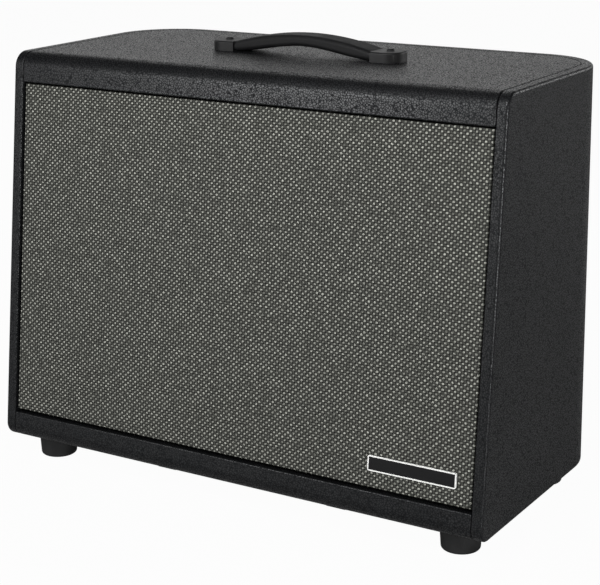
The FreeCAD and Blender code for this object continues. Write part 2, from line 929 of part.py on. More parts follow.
def handle_strap():
    """A moulded band that arches between the caps and lies on the top for a short way at each end."""
    reach = handle_length / 2 - cap_length
    tail = cap_pocket_depth - cap_pocket_gap
    low = crown + strap_end_height
    lower_end = Vector(reach, 0, low)
    lower_rise = Vector(reach - strap_foot_length, 0, low + strap_foot_rise)
    upper_end = Vector(reach, 0, low + strap_end_thickness)
    lower_crest = Vector(0, 0, crown + handle_rise - strap_thickness)
    upper_crest = Vector(0, 0, crown + handle_rise)
    mirror = Vector(-1, 1, 1)
    lower = Part.BSplineCurve()
    lower.interpolate([mirrored(lower_end, mirror), mirrored(lower_rise, mirror), lower_crest,
                       lower_rise, lower_end])
    upper = Part.Arc(upper_end, upper_crest, mirrored(upper_end, mirror))
    tail_height = cap_height - 2 * cap_pocket_gap - 2 * strap_end_height
    edges = [lower.toShape(), Part.LineSegment(lower_end, upper_end).toShape(), upper.toShape(),
             Part.LineSegment(mirrored(upper_end, mirror), mirrored(lower_end, mirror)).toShape()]
    band = Part.Face(Part.Wire(edges)).extrude(Vector(0, strap_width, 0))
    band = rounded(band, strap_edge_radius, lambda edge: edge.Length > reach)
    band.translate(Vector(0, handle_set_back - strap_width / 2, 0))
    half = strap_width / 2 - strap_edge_radius
    tails = []
    for side in (-1, 1):
        x_range = sorted((side * (reach - strap_edge_radius), side * (reach + tail)))
        tails.append(block(x_range, (handle_set_back - half, handle_set_back + half),
                           (low + cap_pocket_gap, low + cap_pocket_gap + tail_height / 2)))
    return joined([band] + tails)


def mirrored(point, signs):
    return Vector(point.x * signs.x, point.y * signs.y, point.z * signs.z)


def handle_cap(side):
    """An end cap, square where it meets the strap and round at its outer end, with a pocket for the tail."""
    outer = handle_length / 2
    inner = outer - cap_length + cap_pocket_gap
    upright = Vector(0, 0, 1)
    cap = block((inner, outer), (-cap_width / 2, cap_width / 2), (0, cap_height))
    cap = rounded(cap, cap_corner_radius,
                  lambda edge: runs_along(edge, upright) and at(edge.CenterOfMass.x, outer))
    cap = rounded(cap, cap_edge_radius,
                  lambda edge: at(edge.CenterOfMass.z, cap_height) and not at(edge.CenterOfMass.x, inner))
    half = strap_width / 2 - strap_edge_radius + cap_pocket_gap
    tail_height = cap_height - 2 * cap_pocket_gap - 2 * strap_end_height
    pocket = block((inner - cut_past, inner + cap_pocket_depth), (-half, half),
                   (strap_end_height, strap_end_height + tail_height / 2 + 2 * cap_pocket_gap))
    cap = cap.cut(pocket)
    cap.Placement = Placement(Vector(0, handle_set_back, crown), Rotation(upright, 0 if side > 0 else 180))
    x, y = handle_screw_places()[0 if side < 0 else 1]
    return cap.cut(screw_hole(Vector(x, y, crown + cap_height), Vector(0, 0, -1), 2 * cap_height))


def handle_screws():
    return group([screw(Vector(x, y, crown + cap_height), Vector(0, 0, -1), cap_height)
                  for x, y in handle_screw_places()])


# Feet and tilt-back bail

def foot(x, y):
    """A tapered rubber foot with a rounded lower edge, counterbored for its screw."""
    body = Part.makeCone(foot_bottom_diameter / 2, foot_top_diameter / 2, foot_height, Vector(x, y, 0))
    body = rounded(body, foot_edge_radius, lambda edge: at(edge.CenterOfMass.z, 0))
    bore = rod(screw_head_diameter + 2 * foot_bore_gap, Vector(x, y, -cut_past),
               Vector(x, y, foot_bore_depth))
    return body.cut(bore).cut(screw_hole(Vector(x, y, 0), Vector(0, 0, 1), foot_height + cut_past))


def foot_screws():
    grip = foot_height - foot_bore_depth
    return [screw(Vector(x, y, foot_bore_depth), Vector(0, 0, 1), grip) for x, y in foot_places().values()]


def bail_axis():
    return Vector(0, -cabinet_depth / 2 + bail_pivot_inset, base - bail_drop)


def tilt_bail():
    """One bent rod: two pins along the pivot axis, two legs and the cross bar, folded flat to the back."""
    axis = bail_axis()
    leg = bail_width / 2
    pin_start = leg - bail_pin_length
    elbow = bail_elbow_radius
    far = axis.y + bail_length
    bend = bail_corner_radius

    def spot(x, y):
        return Vector(x, y, axis.z)

    def arc_middle(centre_x, centre_y, radius, x_sign, y_sign):
        reach = radius * math.sqrt(0.5)
        return spot(centre_x + x_sign * reach, centre_y + y_sign * reach)

    edges = [Part.LineSegment(spot(-pin_start, axis.y), spot(-leg + elbow, axis.y)),
             Part.Arc(spot(-leg + elbow, axis.y), arc_middle(-leg + elbow, axis.y + elbow, elbow, -1, -1),
                      spot(-leg, axis.y + elbow)),
             Part.LineSegment(spot(-leg, axis.y + elbow), spot(-leg, far - bend)),
             Part.Arc(spot(-leg, far - bend), arc_middle(-leg + bend, far - bend, bend, -1, 1),
                      spot(-leg + bend, far)),
             Part.LineSegment(spot(-leg + bend, far), spot(leg - bend, far)),
             Part.Arc(spot(leg - bend, far), arc_middle(leg - bend, far - bend, bend, 1, 1),
                      spot(leg, far - bend)),
             Part.LineSegment(spot(leg, far - bend), spot(leg, axis.y + elbow)),
             Part.Arc(spot(leg, axis.y + elbow), arc_middle(leg - elbow, axis.y + elbow, elbow, 1, -1),
                      spot(leg - elbow, axis.y)),
             Part.LineSegment(spot(leg - elbow, axis.y), spot(pin_start, axis.y))]
    path = Part.Wire([edge.toShape() for edge in edges])
    circle = Part.Circle(spot(-pin_start, axis.y), Vector(1, 0, 0), bail_wire_diameter / 2)
    section = Part.Wire([circle.toShape()])
    return path.makePipeShell([section], True, True)


def pivot_blocks():
    """Moulded blocks under the bottom panel, each with a bore for one of the bail's pins."""
    axis = bail_axis()
    boss = bail_wire_diameter + 2 * pivot_block_wall
    blocks = []
    for x, y in pivot_places():
        x_range = (x - pivot_block_width / 2, x + pivot_block_width / 2)
        plate = block(x_range, (y - pivot_block_length / 2, y + pivot_block_length / 2),
                      (base - pivot_block_wall, base))
        web = block(x_range, (y - boss / 2, y + boss / 2), (axis.z, base))
        round_end = rod(boss, Vector(x_range[0], y, axis.z), Vector(x_range[1], y, axis.z))
        bore = rod(bail_wire_diameter + 2 * bail_bore_gap, Vector(x_range[0] - cut_past, y, axis.z),
                   Vector(x_range[1] + cut_past, y, axis.z))
        blocks.append(joined([plate, web, round_end]).cut(bore))
    solid = group(blocks)
    for x, y in pivot_screw_places():
        seat = Vector(x, y, base - pivot_block_wall)
        solid = solid.cut(screw_hole(seat, Vector(0, 0, 1), 2 * pivot_block_wall))
    return solid


def pivot_screws():
    seat = base - pivot_block_wall
    return [screw(Vector(x, y, seat), Vector(0, 0, 1), pivot_block_wall) for x, y in pivot_screw_places()]


# Amplifier: panel, case and boards

def control_screw_places():
    across = control_width / 2 - control_screw_inset
    up = control_height / 2 - control_screw_inset
    pitch = 2 * across / (control_screw_columns - 1)
    columns = [pitch * column - across for column in range(control_screw_columns)]
    return [Vector(x, control_face, control_middle + side * up) for x in columns for side in (-1, 1)]


def control_panel():
    half = control_width / 2
    heights = (control_middle - control_height / 2, control_middle + control_height / 2)
    plate = block((-half, half), (back_face, control_face), heights)
    plate = rounded(plate, 2 * control_thickness, lambda edge: runs_along(edge, Vector(0, 1, 0)))
    for place in control_screw_places():
        plate = plate.cut(screw_hole(place, Vector(0, -1, 0), 2 * control_thickness))
    start = back_face - cut_past
    end = control_face + cut_past
    holes = [(x, stem_diameter + 2 * stem_gap + 2 * bush_wall) for x in knob_places.values()]
    holes += [(x, jack_bush_diameter) for x in jack_places.values()]
    holes.append((button_place, button_diameter + 2 * button_gap))
    for x, diameter in holes:
        plate = plate.cut(rod(diameter, Vector(x, start, control_middle), Vector(x, end, control_middle)))
    plate = plate.cut(centred_block(inlet_place, inlet_width, inlet_height, (start, end)))
    return plate.cut(centred_block(rocker_place, rocker_shell_width(), rocker_shell_length(), (start, end)))


def centred_block(x, width, height, y_range):
    return block((x - width / 2, x + width / 2), y_range,
                 (control_middle - height / 2, control_middle + height / 2))


def control_screws():
    return [screw(place, Vector(0, -1, 0), control_thickness) for place in control_screw_places()]


def chassis_size():
    width = control_width - 2 * control_lap - 2 * chassis_gap
    height = control_height - 2 * control_lap - 2 * chassis_gap
    return width, height


def chassis_floor():
    return control_middle - chassis_size()[1] / 2 + chassis_wall


def board_span():
    """Width range and depth range of the power board."""
    half = chassis_size()[0] / 2 - chassis_wall - board_margin
    start = chassis_front() + chassis_wall + board_margin / 2
    return (-half, half), (start, back_face - jack_body_depth - board_margin)


def post_places():
    x_range, y_range = board_span()
    inset = post_diameter
    columns = (x_range[0] + inset, x_range[1] - inset)
    rows = (y_range[0] + inset, y_range[1] - inset)
    return [(x, y) for x in columns for y in rows]


def amp_chassis():
    """A folded steel tray, open towards the control panel, with posts for the power board."""
    width, height = chassis_size()
    tray = centred_block(0, width, height, (chassis_front(), back_face))
    hollow = centred_block(0, width - 2 * chassis_wall, height - 2 * chassis_wall,
                           (chassis_front() + chassis_wall, back_face + cut_past))
    tray = tray.cut(hollow)
    posts = [rod(post_diameter, Vector(x, y, chassis_floor() - chassis_wall / 2),
                 Vector(x, y, chassis_floor() + post_height)) for x, y in post_places()]
    return joined([tray] + posts)


def board_top():
    return chassis_floor() + post_height + board_thickness


def power_board():
    x_range, y_range = board_span()
    return block(x_range, y_range, (board_top() - board_thickness, board_top()))


def heat_sink():
    """An extruded comb of fins, standing on the power board."""
    x_range, y_range = board_span()
    left = x_range[0] + 2 * board_margin
    right = -transformer_width / 2 - heat_sink_gap
    middle = (y_range[0] + y_range[1]) / 2
    depth_range = (middle - heat_sink_depth / 2, middle + heat_sink_depth / 2)
    comb = [block((left, right), depth_range, (board_top(), board_top() + heat_sink_base))]
    step = (right - left - heat_sink_fin) / (heat_sink_fin_count - 1)
    for number in range(heat_sink_fin_count):
        x = left + step * number
        comb.append(block((x, x + heat_sink_fin), depth_range, (board_top(), board_top() + heat_sink_height)))
    return joined(comb)


def filter_capacitors():
    x_range, y_range = board_span()
    right = x_range[1] - 2 * board_margin
    middle = (y_range[0] + y_range[1]) / 2
    cans = []
    for number in range(2):
        seat = Vector(right - capacitor_diameter / 2 - capacitor_spacing * number, middle, board_top())
        cans.append(rod(capacitor_diameter, seat, seat + Vector(0, 0, capacitor_height)))
    return group(cans)


def power_transformer():
    y_range = board_span()[1]
    middle = (y_range[0] + y_range[1]) / 2
    half = transformer_width / 2
    inner_half = half - transformer_core_lap
    start = middle - transformer_depth / 2
    end = middle + transformer_depth / 2
    top = board_top() + transformer_height
    winding = block((-inner_half, inner_half), (start, end), (board_top(), top))
    core = block((-half, half), (start + transformer_core_lap, end - transformer_core_lap),
                 (board_top(), top - transformer_core_lap / 2))
    return joined([winding, core])


# Controls and sockets

def pot_bush_end():
    return control_face + nut_height


def potentiometers():
    """Pot bodies behind the panel, each with a bush through it and a nut in front."""
    bush = stem_diameter + 2 * stem_gap + 2 * bush_wall
    bore = stem_diameter + 2 * stem_gap
    pots = []
    for x in knob_places.values():
        body = centred_block(x, pot_size, pot_size, (back_face - pot_depth, back_face))
        tip = Vector(x, pot_bush_end(), control_middle)
        sleeve = rod(bush, Vector(x, back_face - cut_past, control_middle), tip)
        nut = hexagon(nut_flats, Vector(x, control_face, control_middle), tip)
        hole = rod(bore, Vector(x, pot_bush_end() - stem_depth - knob_float, control_middle),
                   Vector(x, pot_bush_end() + cut_past, control_middle))
        pots.append(joined([body, sleeve, nut]).cut(hole))
    return group(pots)


def knob(x):
    """A fluted knob moulded with its stem, with a pointer line cut across the top."""
    seat = pot_bush_end() + knob_float
    tip = seat + knob_height
    body = Part.makeCone(knob_diameter / 2, knob_tip_diameter / 2, knob_height,
                         Vector(x, seat, control_middle), Vector(0, 1, 0))
    body = rounded(body, knob_height / 12, lambda edge: at(edge.CenterOfMass.y, tip))
    for number in range(knob_flute_count):
        angle = 2 * math.pi * (number + 0.5) / knob_flute_count
        side = Vector(math.sin(angle), 0, math.cos(angle))
        low = Vector(x, seat + knob_height / 5, control_middle) + side * (knob_diameter / 2)
        high = Vector(x, tip + cut_past, control_middle) + side * (knob_tip_diameter / 2)
        body = body.cut(rod(knob_flute_diameter, low, high))
    groove = block((x - knob_pointer_width / 2, x + knob_pointer_width / 2),
                   (tip - knob_pointer_depth, tip + cut_past),
                   (control_middle, control_middle + knob_diameter))
    stem = rod(stem_diameter, Vector(x, pot_bush_end() - stem_depth, control_middle),
               Vector(x, seat + knob_height / 2, control_middle))
    return joined([body.cut(groove), stem])


def jack(x):
    """A jack socket: body behind the panel, threaded bush through it and a nut in front."""
    body = centred_block(x, jack_body_size, jack_body_size, (back_face - jack_body_depth, back_face))
    bush_end = control_face + nut_height + jack_bush_proud
    bush = rod(jack_bush_diameter, Vector(x, back_face - cut_past, control_middle),
               Vector(x, bush_end, control_middle))
    nut = hexagon(jack_nut_flats, Vector(x, control_face, control_middle),
                  Vector(x, control_face + nut_height, control_middle))
    bore = rod(jack_bore, Vector(x, bush_end - jack_bore_length, control_middle),
               Vector(x, bush_end + cut_past, control_middle))
    return joined([body, bush, nut]).cut(bore)


def power_inlet():
    """A three-pin mains inlet: flange on the panel, body behind it and pins at the bottom of its cavity."""
    flange = centred_block(inlet_place, inlet_width + 2 * inlet_flange, inlet_height + inlet_flange,
                           (control_face, control_face + inlet_flange_thickness))
    flange = rounded(flange, inlet_flange / 2, lambda edge: runs_along(edge, Vector(0, 1, 0)))
    mouth = control_face + inlet_flange_thickness
    body = centred_block(inlet_place, inlet_width, inlet_height, (mouth - inlet_depth, mouth))
    cavity = centred_block(inlet_place, inlet_cavity_width, inlet_cavity_height,
                           (mouth - inlet_cavity_depth, mouth + cut_past))
    top = control_middle + inlet_cavity_height / 2
    cavity = cavity.makeChamfer(inlet_cavity_chamfer, [edge for edge in cavity.Edges
                                                       if runs_along(edge, Vector(0, 1, 0))
                                                       and at(edge.CenterOfMass.z, top)])
    shell = joined([flange, body]).cut(cavity)
    floor = mouth - inlet_cavity_depth
    pins = []
    for spread, rise in ((-1, -0.5), (0, 0.5), (1, -0.5)):
        x = inlet_place + spread * inlet_pin_spread
        z = control_middle + rise * inlet_pin_height
        pins.append(block((x - inlet_pin_width / 2, x + inlet_pin_width / 2),
                          (floor - cut_past, floor + inlet_pin_length),
                          (z - inlet_pin_height / 2, z + inlet_pin_height / 2)))
    return joined([shell] + pins)


def rocker_shell_width():
    return rocker_width + 2 * rocker_gap + 2 * rocker_body_wall


def rocker_shell_length():
    return rocker_length + 2 * rocker_gap + 2 * rocker_body_wall


def rocker_axis():
    return Vector(rocker_place, control_face, control_middle)


def power_switch():
    """The switch's body with its bezel, and a well for the rocker between two pivot holes."""
    back = control_face - rocker_body_depth
    bezel_end = control_face + rocker_bezel_height
    body = centred_block(rocker_place, rocker_shell_width(), rocker_shell_length(), (back, control_face))
    bezel = centred_block(rocker_place, rocker_shell_width() + 2 * rocker_bezel_lap,
                          rocker_shell_length() + 2 * rocker_bezel_lap, (control_face, bezel_end))
    well = centred_block(rocker_place, rocker_width + 2 * rocker_gap, rocker_length + 2 * rocker_gap,
                         (back + rocker_body_wall, bezel_end + cut_past))
    reach = rocker_width / 2 + rocker_pin_length + rocker_gap
    hole = rod(rocker_pin_diameter + 2 * rocker_pin_gap, rocker_axis() - Vector(reach, 0, 0),
               rocker_axis() + Vector(reach, 0, 0))
    return joined([body, bezel]).cut(well).cut(hole)


def power_rocker():
    """The rocker: a shallow V seen from the side, round at both ends, on two moulded pins."""
    axis = rocker_axis()
    reach = rocker_length / 2
    crest = rocker_proud + rocker_bezel_height
    tip_angle = math.asin(crest / reach)
    tip = Vector(0, crest, reach * math.cos(tip_angle))
    low = Vector(0, -rocker_sink, math.sqrt(reach * reach - rocker_sink * rocker_sink))
    side = Vector(0, 0, reach)
    valley = Vector(0, crest - tip.z * math.tan(math.radians(rocker_tilt)), 0)
    flip = Vector(1, 1, -1)
    edges = [Part.LineSegment(valley, tip), Part.Arc(tip, side, low),
             Part.LineSegment(low, mirrored(low, flip)),
             Part.Arc(mirrored(low, flip), mirrored(side, flip), mirrored(tip, flip)),
             Part.LineSegment(mirrored(tip, flip), valley)]
    face = Part.Face(Part.Wire([edge.toShape() for edge in edges]))
    paddle = face.extrude(Vector(rocker_width, 0, 0))
    paddle.translate(Vector(-rocker_width / 2, 0, 0))
    pin_reach = Vector(rocker_width / 2 + rocker_pin_length, 0, 0)
    paddle = joined([paddle, rod(rocker_pin_diameter, pin_reach * -1, pin_reach)])
    paddle.Placement = Placement(axis, Rotation(Vector(1, 0, 0), -rocker_tilt))
    return paddle


def lift_button():
    """A round push button on a stem that slides in the switch behind the panel."""
    tip = control_face + button_proud
    cap = rod(button_diameter, Vector(button_place, control_face - control_thickness, control_middle),
              Vector(button_place, tip, control_middle))
    cap = rounded(cap, button_diameter / 10, lambda edge: at(edge.CenterOfMass.y, tip))
    stem = rod(button_diameter / 2, Vector(button_place, back_face - pot_depth, control_middle),
               Vector(button_place, control_face, control_middle))
    return joined([cap, stem])


def lift_switch():
    """The push switch behind the panel, open in front for the button's cap and stem to sink into."""
    room = button_travel + button_gap
    body = centred_block(button_place, button_body_size, button_body_size,
                         (back_face - pot_depth - 2 * room, back_face))
    cap_well = rod(button_diameter + 2 * button_gap, Vector(button_place, back_face - room, control_middle),
                   Vector(button_place, back_face + cut_past, control_middle))
    stem_well = rod(button_diameter / 2 + 2 * button_gap,
                    Vector(button_place, back_face - pot_depth - room, control_middle),
                    Vector(button_place, back_face, control_middle))
    return body.cut(cap_well).cut(stem_well)


def control_board():
    """The small board soldered to the pots and the push switch."""
    places = list(knob_places.values()) + [button_place]
    x_range = (min(places) - pot_size / 2, max(places) + pot_size / 2)
    rear_of_pots = back_face - pot_depth
    half = (pot_size + board_margin) / 2
    board = block(x_range, (rear_of_pots - board_thickness, rear_of_pots),
                  (control_middle - half, control_middle + half))
    return board.cut(centred_block(button_place, button_body_size, button_body_size,
                                   (rear_of_pots - overrun, rear_of_pots + cut_past)))


def build_parts():
    form = envelope()
    wall = shell_wall(form)
    core = shell_core(form)
    parts = {
        "left_side_panel": side_panel(wall, -1),
        "right_side_panel": side_panel(wall, 1),
        "rear_top_rail": rear_rail(wall, (crown - panel_thickness, crown + overrun)),
        "rear_bottom_rail": rear_rail(wall, (0, base + panel_thickness)),
        "top_panel": top_panel(core),
        "bottom_panel": bottom_panel(core),
        "top_front_rail": top_rail(core),
        "bottom_front_rail": bottom_rail(core),
        "baffle_board": baffle_board(core),
        "back_panel": back_panel(),
        "back_cleats": back_cleats(),
        "rear_screws": group(back_screws() + control_screws()),
        "grille_frame": grille_frame(),
        "grille_cloth": grille_cloth(),
        "grille_pads": grille_pads(),
        "badge_plate": badge_plate(),
        "handle_strap": handle_strap(),
        "handle_cap_left": handle_cap(-1),
        "handle_cap_right": handle_cap(1),
        "handle_screws": handle_screws(),
        "base_screws": group(foot_screws() + pivot_screws()),
        "tilt_bail": tilt_bail(),
        "bail_pivot_blocks": pivot_blocks(),
        "speaker_basket": speaker_basket(),
        "speaker_gasket": speaker_gasket(),
        "speaker_bolts": speaker_bolts(),
        "speaker_tee_nuts": tee_nuts(),
        "speaker_surround": speaker_surround(),
        "speaker_cone": speaker_cone(),
        "voice_coil": voice_coil(),
        "speaker_spider": speaker_spider(),
        "speaker_top_plate": speaker_top_plate(),
        "speaker_magnet": speaker_magnet(),
        "speaker_back_plate": speaker_back_plate(),
        "hf_waveguide": hf_waveguide(),
        "hf_driver": hf_driver(),
        "speaker_terminal": speaker_terminal(),
        "speaker_leads": speaker_leads(),
        "control_panel": control_panel(),
        "amp_chassis": amp_chassis(),
        "control_board": control_board(),
        "power_board": power_board(),
        "heat_sink": heat_sink(),
        "filter_capacitors": filter_capacitors(),
        "power_transformer": power_transformer(),
        "potentiometers": potentiometers(),
        "power_inlet": power_inlet(),
        "power_switch": power_switch(),
        "power_rocker": power_rocker(),
        "lift_switch": lift_switch(),
        "lift_button": lift_button(),
    }
    for name, (x, y) in foot_places().items():
        parts[name] = foot(x, y)
    for name, x in knob_places.items():
        parts[name] = knob(x)
    for name, x in jack_places.items():
        parts[name] = jack(x)
    return parts


os.makedirs("parts", exist_ok=True)
for node, shape in build_parts().items():
    shape.exportStep("parts/" + node + ".step")
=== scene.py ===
import json
import math

import bmesh
import bpy
from mathutils import Matrix, Vector


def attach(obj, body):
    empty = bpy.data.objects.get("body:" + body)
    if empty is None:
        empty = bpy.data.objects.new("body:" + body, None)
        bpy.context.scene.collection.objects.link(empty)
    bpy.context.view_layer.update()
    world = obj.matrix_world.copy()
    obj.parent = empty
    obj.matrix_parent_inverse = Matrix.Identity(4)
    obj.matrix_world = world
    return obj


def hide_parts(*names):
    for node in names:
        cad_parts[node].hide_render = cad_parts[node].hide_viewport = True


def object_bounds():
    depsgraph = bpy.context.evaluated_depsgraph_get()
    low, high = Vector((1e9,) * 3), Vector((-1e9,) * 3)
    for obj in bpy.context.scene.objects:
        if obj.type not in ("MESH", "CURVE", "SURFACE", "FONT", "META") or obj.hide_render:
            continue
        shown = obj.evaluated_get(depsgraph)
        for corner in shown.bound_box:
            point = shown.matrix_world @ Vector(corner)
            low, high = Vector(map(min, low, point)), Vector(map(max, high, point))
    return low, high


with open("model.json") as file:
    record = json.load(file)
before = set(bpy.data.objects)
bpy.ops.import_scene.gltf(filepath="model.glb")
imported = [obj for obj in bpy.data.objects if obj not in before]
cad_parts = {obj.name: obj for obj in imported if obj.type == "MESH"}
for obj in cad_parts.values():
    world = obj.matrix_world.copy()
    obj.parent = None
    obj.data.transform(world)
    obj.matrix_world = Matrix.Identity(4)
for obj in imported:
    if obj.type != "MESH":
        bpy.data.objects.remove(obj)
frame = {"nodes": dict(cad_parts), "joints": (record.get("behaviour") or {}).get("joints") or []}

cad_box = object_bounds()


# Shell: two side panels bent round the rear corners, top, bottom, rails and back, all of birch plywood.
# Each is wrapped in black vinyl with a pressed leather grain, so its edges are soft and a fine dark seam
# shows where two of them meet. The back is screwed on, and the others are glued together.

def add_node(tree, kind, inputs=None, **settings):
    """Adds a shader node, sets its properties, and sets or links its inputs."""
    node = tree.nodes.new("ShaderNode" + kind)
    for name, value in settings.items():
        setattr(node, name, value)
    for name, value in (inputs or {}).items():
        if isinstance(value, bpy.types.NodeSocket):
            tree.links.new(value, node.inputs[name])
        else:
            node.inputs[name].default_value = value
    return node


def calc(tree, operation, *values):
    """One step of arithmetic on sockets and numbers."""
    return add_node(tree, "Math", dict(enumerate(values)), operation=operation).outputs[0]


def ramp(tree, value, low, high, start=0.0, end=1.0):
    """Maps a value from one range to another with soft ends."""
    places = {"Value": value, "From Min": low, "From Max": high, "To Min": start, "To Max": end}
    return add_node(tree, "MapRange", places, interpolation_type="SMOOTHSTEP").outputs["Result"]


def fade(tree, value, low, high, end=0.0):
    """Goes down from 1 to this end while a value goes up through a range."""
    return ramp(tree, value, low, high, 1.0, end)


def noise(tree, place, scale, detail, output="Fac"):
    """A cloudy pattern: one value of about 0 to 1 at each place, or a colour of three such values."""
    pattern = {"Vector": place, "Scale": scale, "Detail": detail}
    return add_node(tree, "TexNoise", pattern).outputs[output]


def cell_distance(tree, place, scale, feature="SMOOTH_F1"):
    """A pattern of round cells: the distance to the nearest middle, or to the nearest edge."""
    pattern = {"Vector": place, "Scale": scale}
    return add_node(tree, "TexVoronoi", pattern, feature=feature).outputs["Distance"]


def blend_colours(tree, share, first, second):
    """Goes from one colour to another. Each is a socket or three numbers."""
    node = add_node(tree, "Mix", {"Factor": share}, data_type="RGBA")
    for socket, colour in zip([s for s in node.inputs if s.type == "RGBA"], (first, second)):
        if isinstance(colour, bpy.types.NodeSocket):
            tree.links.new(colour, socket)
        else:
            socket.default_value = (*colour, 1.0)
    return next(s for s in node.outputs if s.type == "RGBA")


def new_group(name, inputs, outputs):
    """An empty shader group with these float inputs, given with their usual values, and float outputs."""
    tree = bpy.data.node_groups.new(name, "ShaderNodeTree")
    for label, value in inputs.items():
        socket = tree.interface.new_socket(label, in_out="INPUT", socket_type="NodeSocketFloat")
        socket.default_value = value
    for label in outputs:
        tree.interface.new_socket(label, in_out="OUTPUT", socket_type="NodeSocketFloat")
    return tree, tree.nodes.new("NodeGroupInput").outputs, tree.nodes.new("NodeGroupOutput").inputs


def use_group(tree, group, **inputs):
    """Places a shader group in a material, with the material's own values."""
    node = add_node(tree, "Group", node_tree=group)
    for label, value in inputs.items():
        node.inputs[label].default_value = value
    return node.outputs


def new_material(name, **constants):
    """A material with its Principled shader, whose constant sockets are set here."""
    material = bpy.data.materials.new(name)
    material.use_nodes = True
    tree = material.node_tree
    shader = next(node for node in tree.nodes if node.type == "BSDF_PRINCIPLED")
    for label, value in constants.items():
        shader.inputs[label.replace("_", " ")].default_value = value
    return material, tree, shader.inputs


def roughen(tree, sockets, start, share, amount):
    """Sets the roughness: a start, and this amount more where a share of 0 to 1 is full."""
    tree.links.new(calc(tree, "MULTIPLY_ADD", share, amount, start), sockets["Roughness"])


def emboss(tree, sockets, height, depth):
    """Raises the surface by a height of 0 to 1 times this depth, in metres."""
    bump = add_node(tree, "Bump", {"Height": height, "Distance": depth, "Strength": 1.0})
    tree.links.new(bump.outputs["Normal"], sockets["Normal"])


def dress(material, *names):
    """Gives CAD nodes this material alone."""
    for name in names:
        slots = frame["nodes"][name].data.materials
        slots.clear()
        slots.append(material)


MM = 0.001
GRAIN_DRIFT = 1.4 * MM
DRIFT_SCALE = 220.0
CREASE_SPAN = (0.02, 0.22)
CREASE_RISE = -0.5
DOME_SPAN = (0.1, 0.75)
BEADS_TO_CELLS = 2.3
BEAD_RISE = 0.4
PATCH_SCALE = 42.0
CLOUD_SPAN = (0.3, 0.7)
leather_grain, given, gives = new_group("leather_grain", {"Cells": 300.0}, ("Height", "Crease", "Patch"))
place = add_node(leather_grain, "TexCoord").outputs["Object"]
drift = {0: noise(leather_grain, place, DRIFT_SCALE, 2.0, "Color"), "Scale": GRAIN_DRIFT}
shift = add_node(leather_grain, "VectorMath", drift, operation="SCALE").outputs[0]
bent = add_node(leather_grain, "VectorMath", {0: place, 1: shift}).outputs[0]
edge = cell_distance(leather_grain, bent, given["Cells"], "DISTANCE_TO_EDGE")
crease = fade(leather_grain, edge, *CREASE_SPAN)
dome = fade(leather_grain, cell_distance(leather_grain, bent, given["Cells"]), *DOME_SPAN)
bead_cells = calc(leather_grain, "MULTIPLY", given["Cells"], BEADS_TO_CELLS)
bead = fade(leather_grain, cell_distance(leather_grain, bent, bead_cells), *DOME_SPAN)
relief = calc(leather_grain, "MULTIPLY_ADD", crease, CREASE_RISE, dome)
leather_grain.links.new(calc(leather_grain, "MULTIPLY_ADD", bead, BEAD_RISE, relief), gives["Height"])
leather_grain.links.new(crease, gives["Crease"])
patch = noise(leather_grain, place, PATCH_SCALE, 3.0)
leather_grain.links.new(ramp(leather_grain, patch, *CLOUD_SPAN), gives["Patch"])

VINYL = (0.0060, 0.0063, 0.0070)
VINYL_WORN = (0.0105, 0.0108, 0.0116)
VINYL_CREASE_SHADE = (0.0025, 0.0026, 0.003)
VINYL_SHEEN = (0.93, 0.97, 1.0, 1.0)
VINYL_COAT = 0.5
VINYL_CELLS = 430.0
VINYL_ROUGHNESS = 0.34
WORN_ROUGHENING = -0.02
CREASE_ROUGHENING = 0.3
VINYL_RELIEF = 0.026 * MM
vinyl, tree, sockets = new_material("vinyl_cover", Specular_IOR_Level=0.16, Specular_Tint=VINYL_SHEEN,
                                    Coat_Roughness=VINYL_ROUGHNESS)
grain = use_group(tree, leather_grain, Cells=VINYL_CELLS)
tone = blend_colours(tree, grain["Patch"], VINYL, VINYL_WORN)
# The creases of the grain are painted darker: painted shade in the creases.
tree.links.new(blend_colours(tree, grain["Crease"], tone, VINYL_CREASE_SHADE), sockets["Base Color"])
worn = calc(tree, "MULTIPLY_ADD", grain["Patch"], WORN_ROUGHENING, VINYL_ROUGHNESS)
roughen(tree, sockets, worn, grain["Crease"], CREASE_ROUGHENING)
tree.links.new(ramp(tree, grain["Crease"], 0.0, 1.0, VINYL_COAT, 0.0), sockets["Coat Weight"])
emboss(tree, sockets, grain["Height"], VINYL_RELIEF)
dress(vinyl, "left_side_panel", "right_side_panel", "top_panel", "bottom_panel", "rear_top_rail",
      "rear_bottom_rail", "top_front_rail", "bottom_front_rail", "back_panel")


# Baffle board, grille frame and battens: plywood and planed softwood inside the shell.
# The boards are sprayed matt black, the battens are left bare. They are glued and screwed.

ALONG_GRAIN = (1.0, 1.0, 0.06)
WANDER_SCALE = 14.0
FLECK_SCALE = 900.0
RING_RISE = 0.3
FLECK_ROUGHENING = 0.2
WOOD_RELIEF = 0.1 * MM
wood_grain, given, gives = new_group("wood_grain", {"Rings": 90.0}, ("Height", "Ring", "Fleck"))
place = add_node(wood_grain, "TexCoord").outputs["Object"]
along = add_node(wood_grain, "Mapping", {"Vector": place, "Scale": ALONG_GRAIN}).outputs[0]
wander = noise(wood_grain, along, WANDER_SCALE, 3.0)
rings = calc(wood_grain, "SINE", calc(wood_grain, "MULTIPLY", wander, given["Rings"]))
fleck = noise(wood_grain, along, FLECK_SCALE, 2.0)
wood_grain.links.new(ramp(wood_grain, rings, -1.0, 1.0), gives["Ring"])
wood_grain.links.new(fleck, gives["Fleck"])
wood_grain.links.new(calc(wood_grain, "MULTIPLY_ADD", rings, RING_RISE, fleck), gives["Height"])


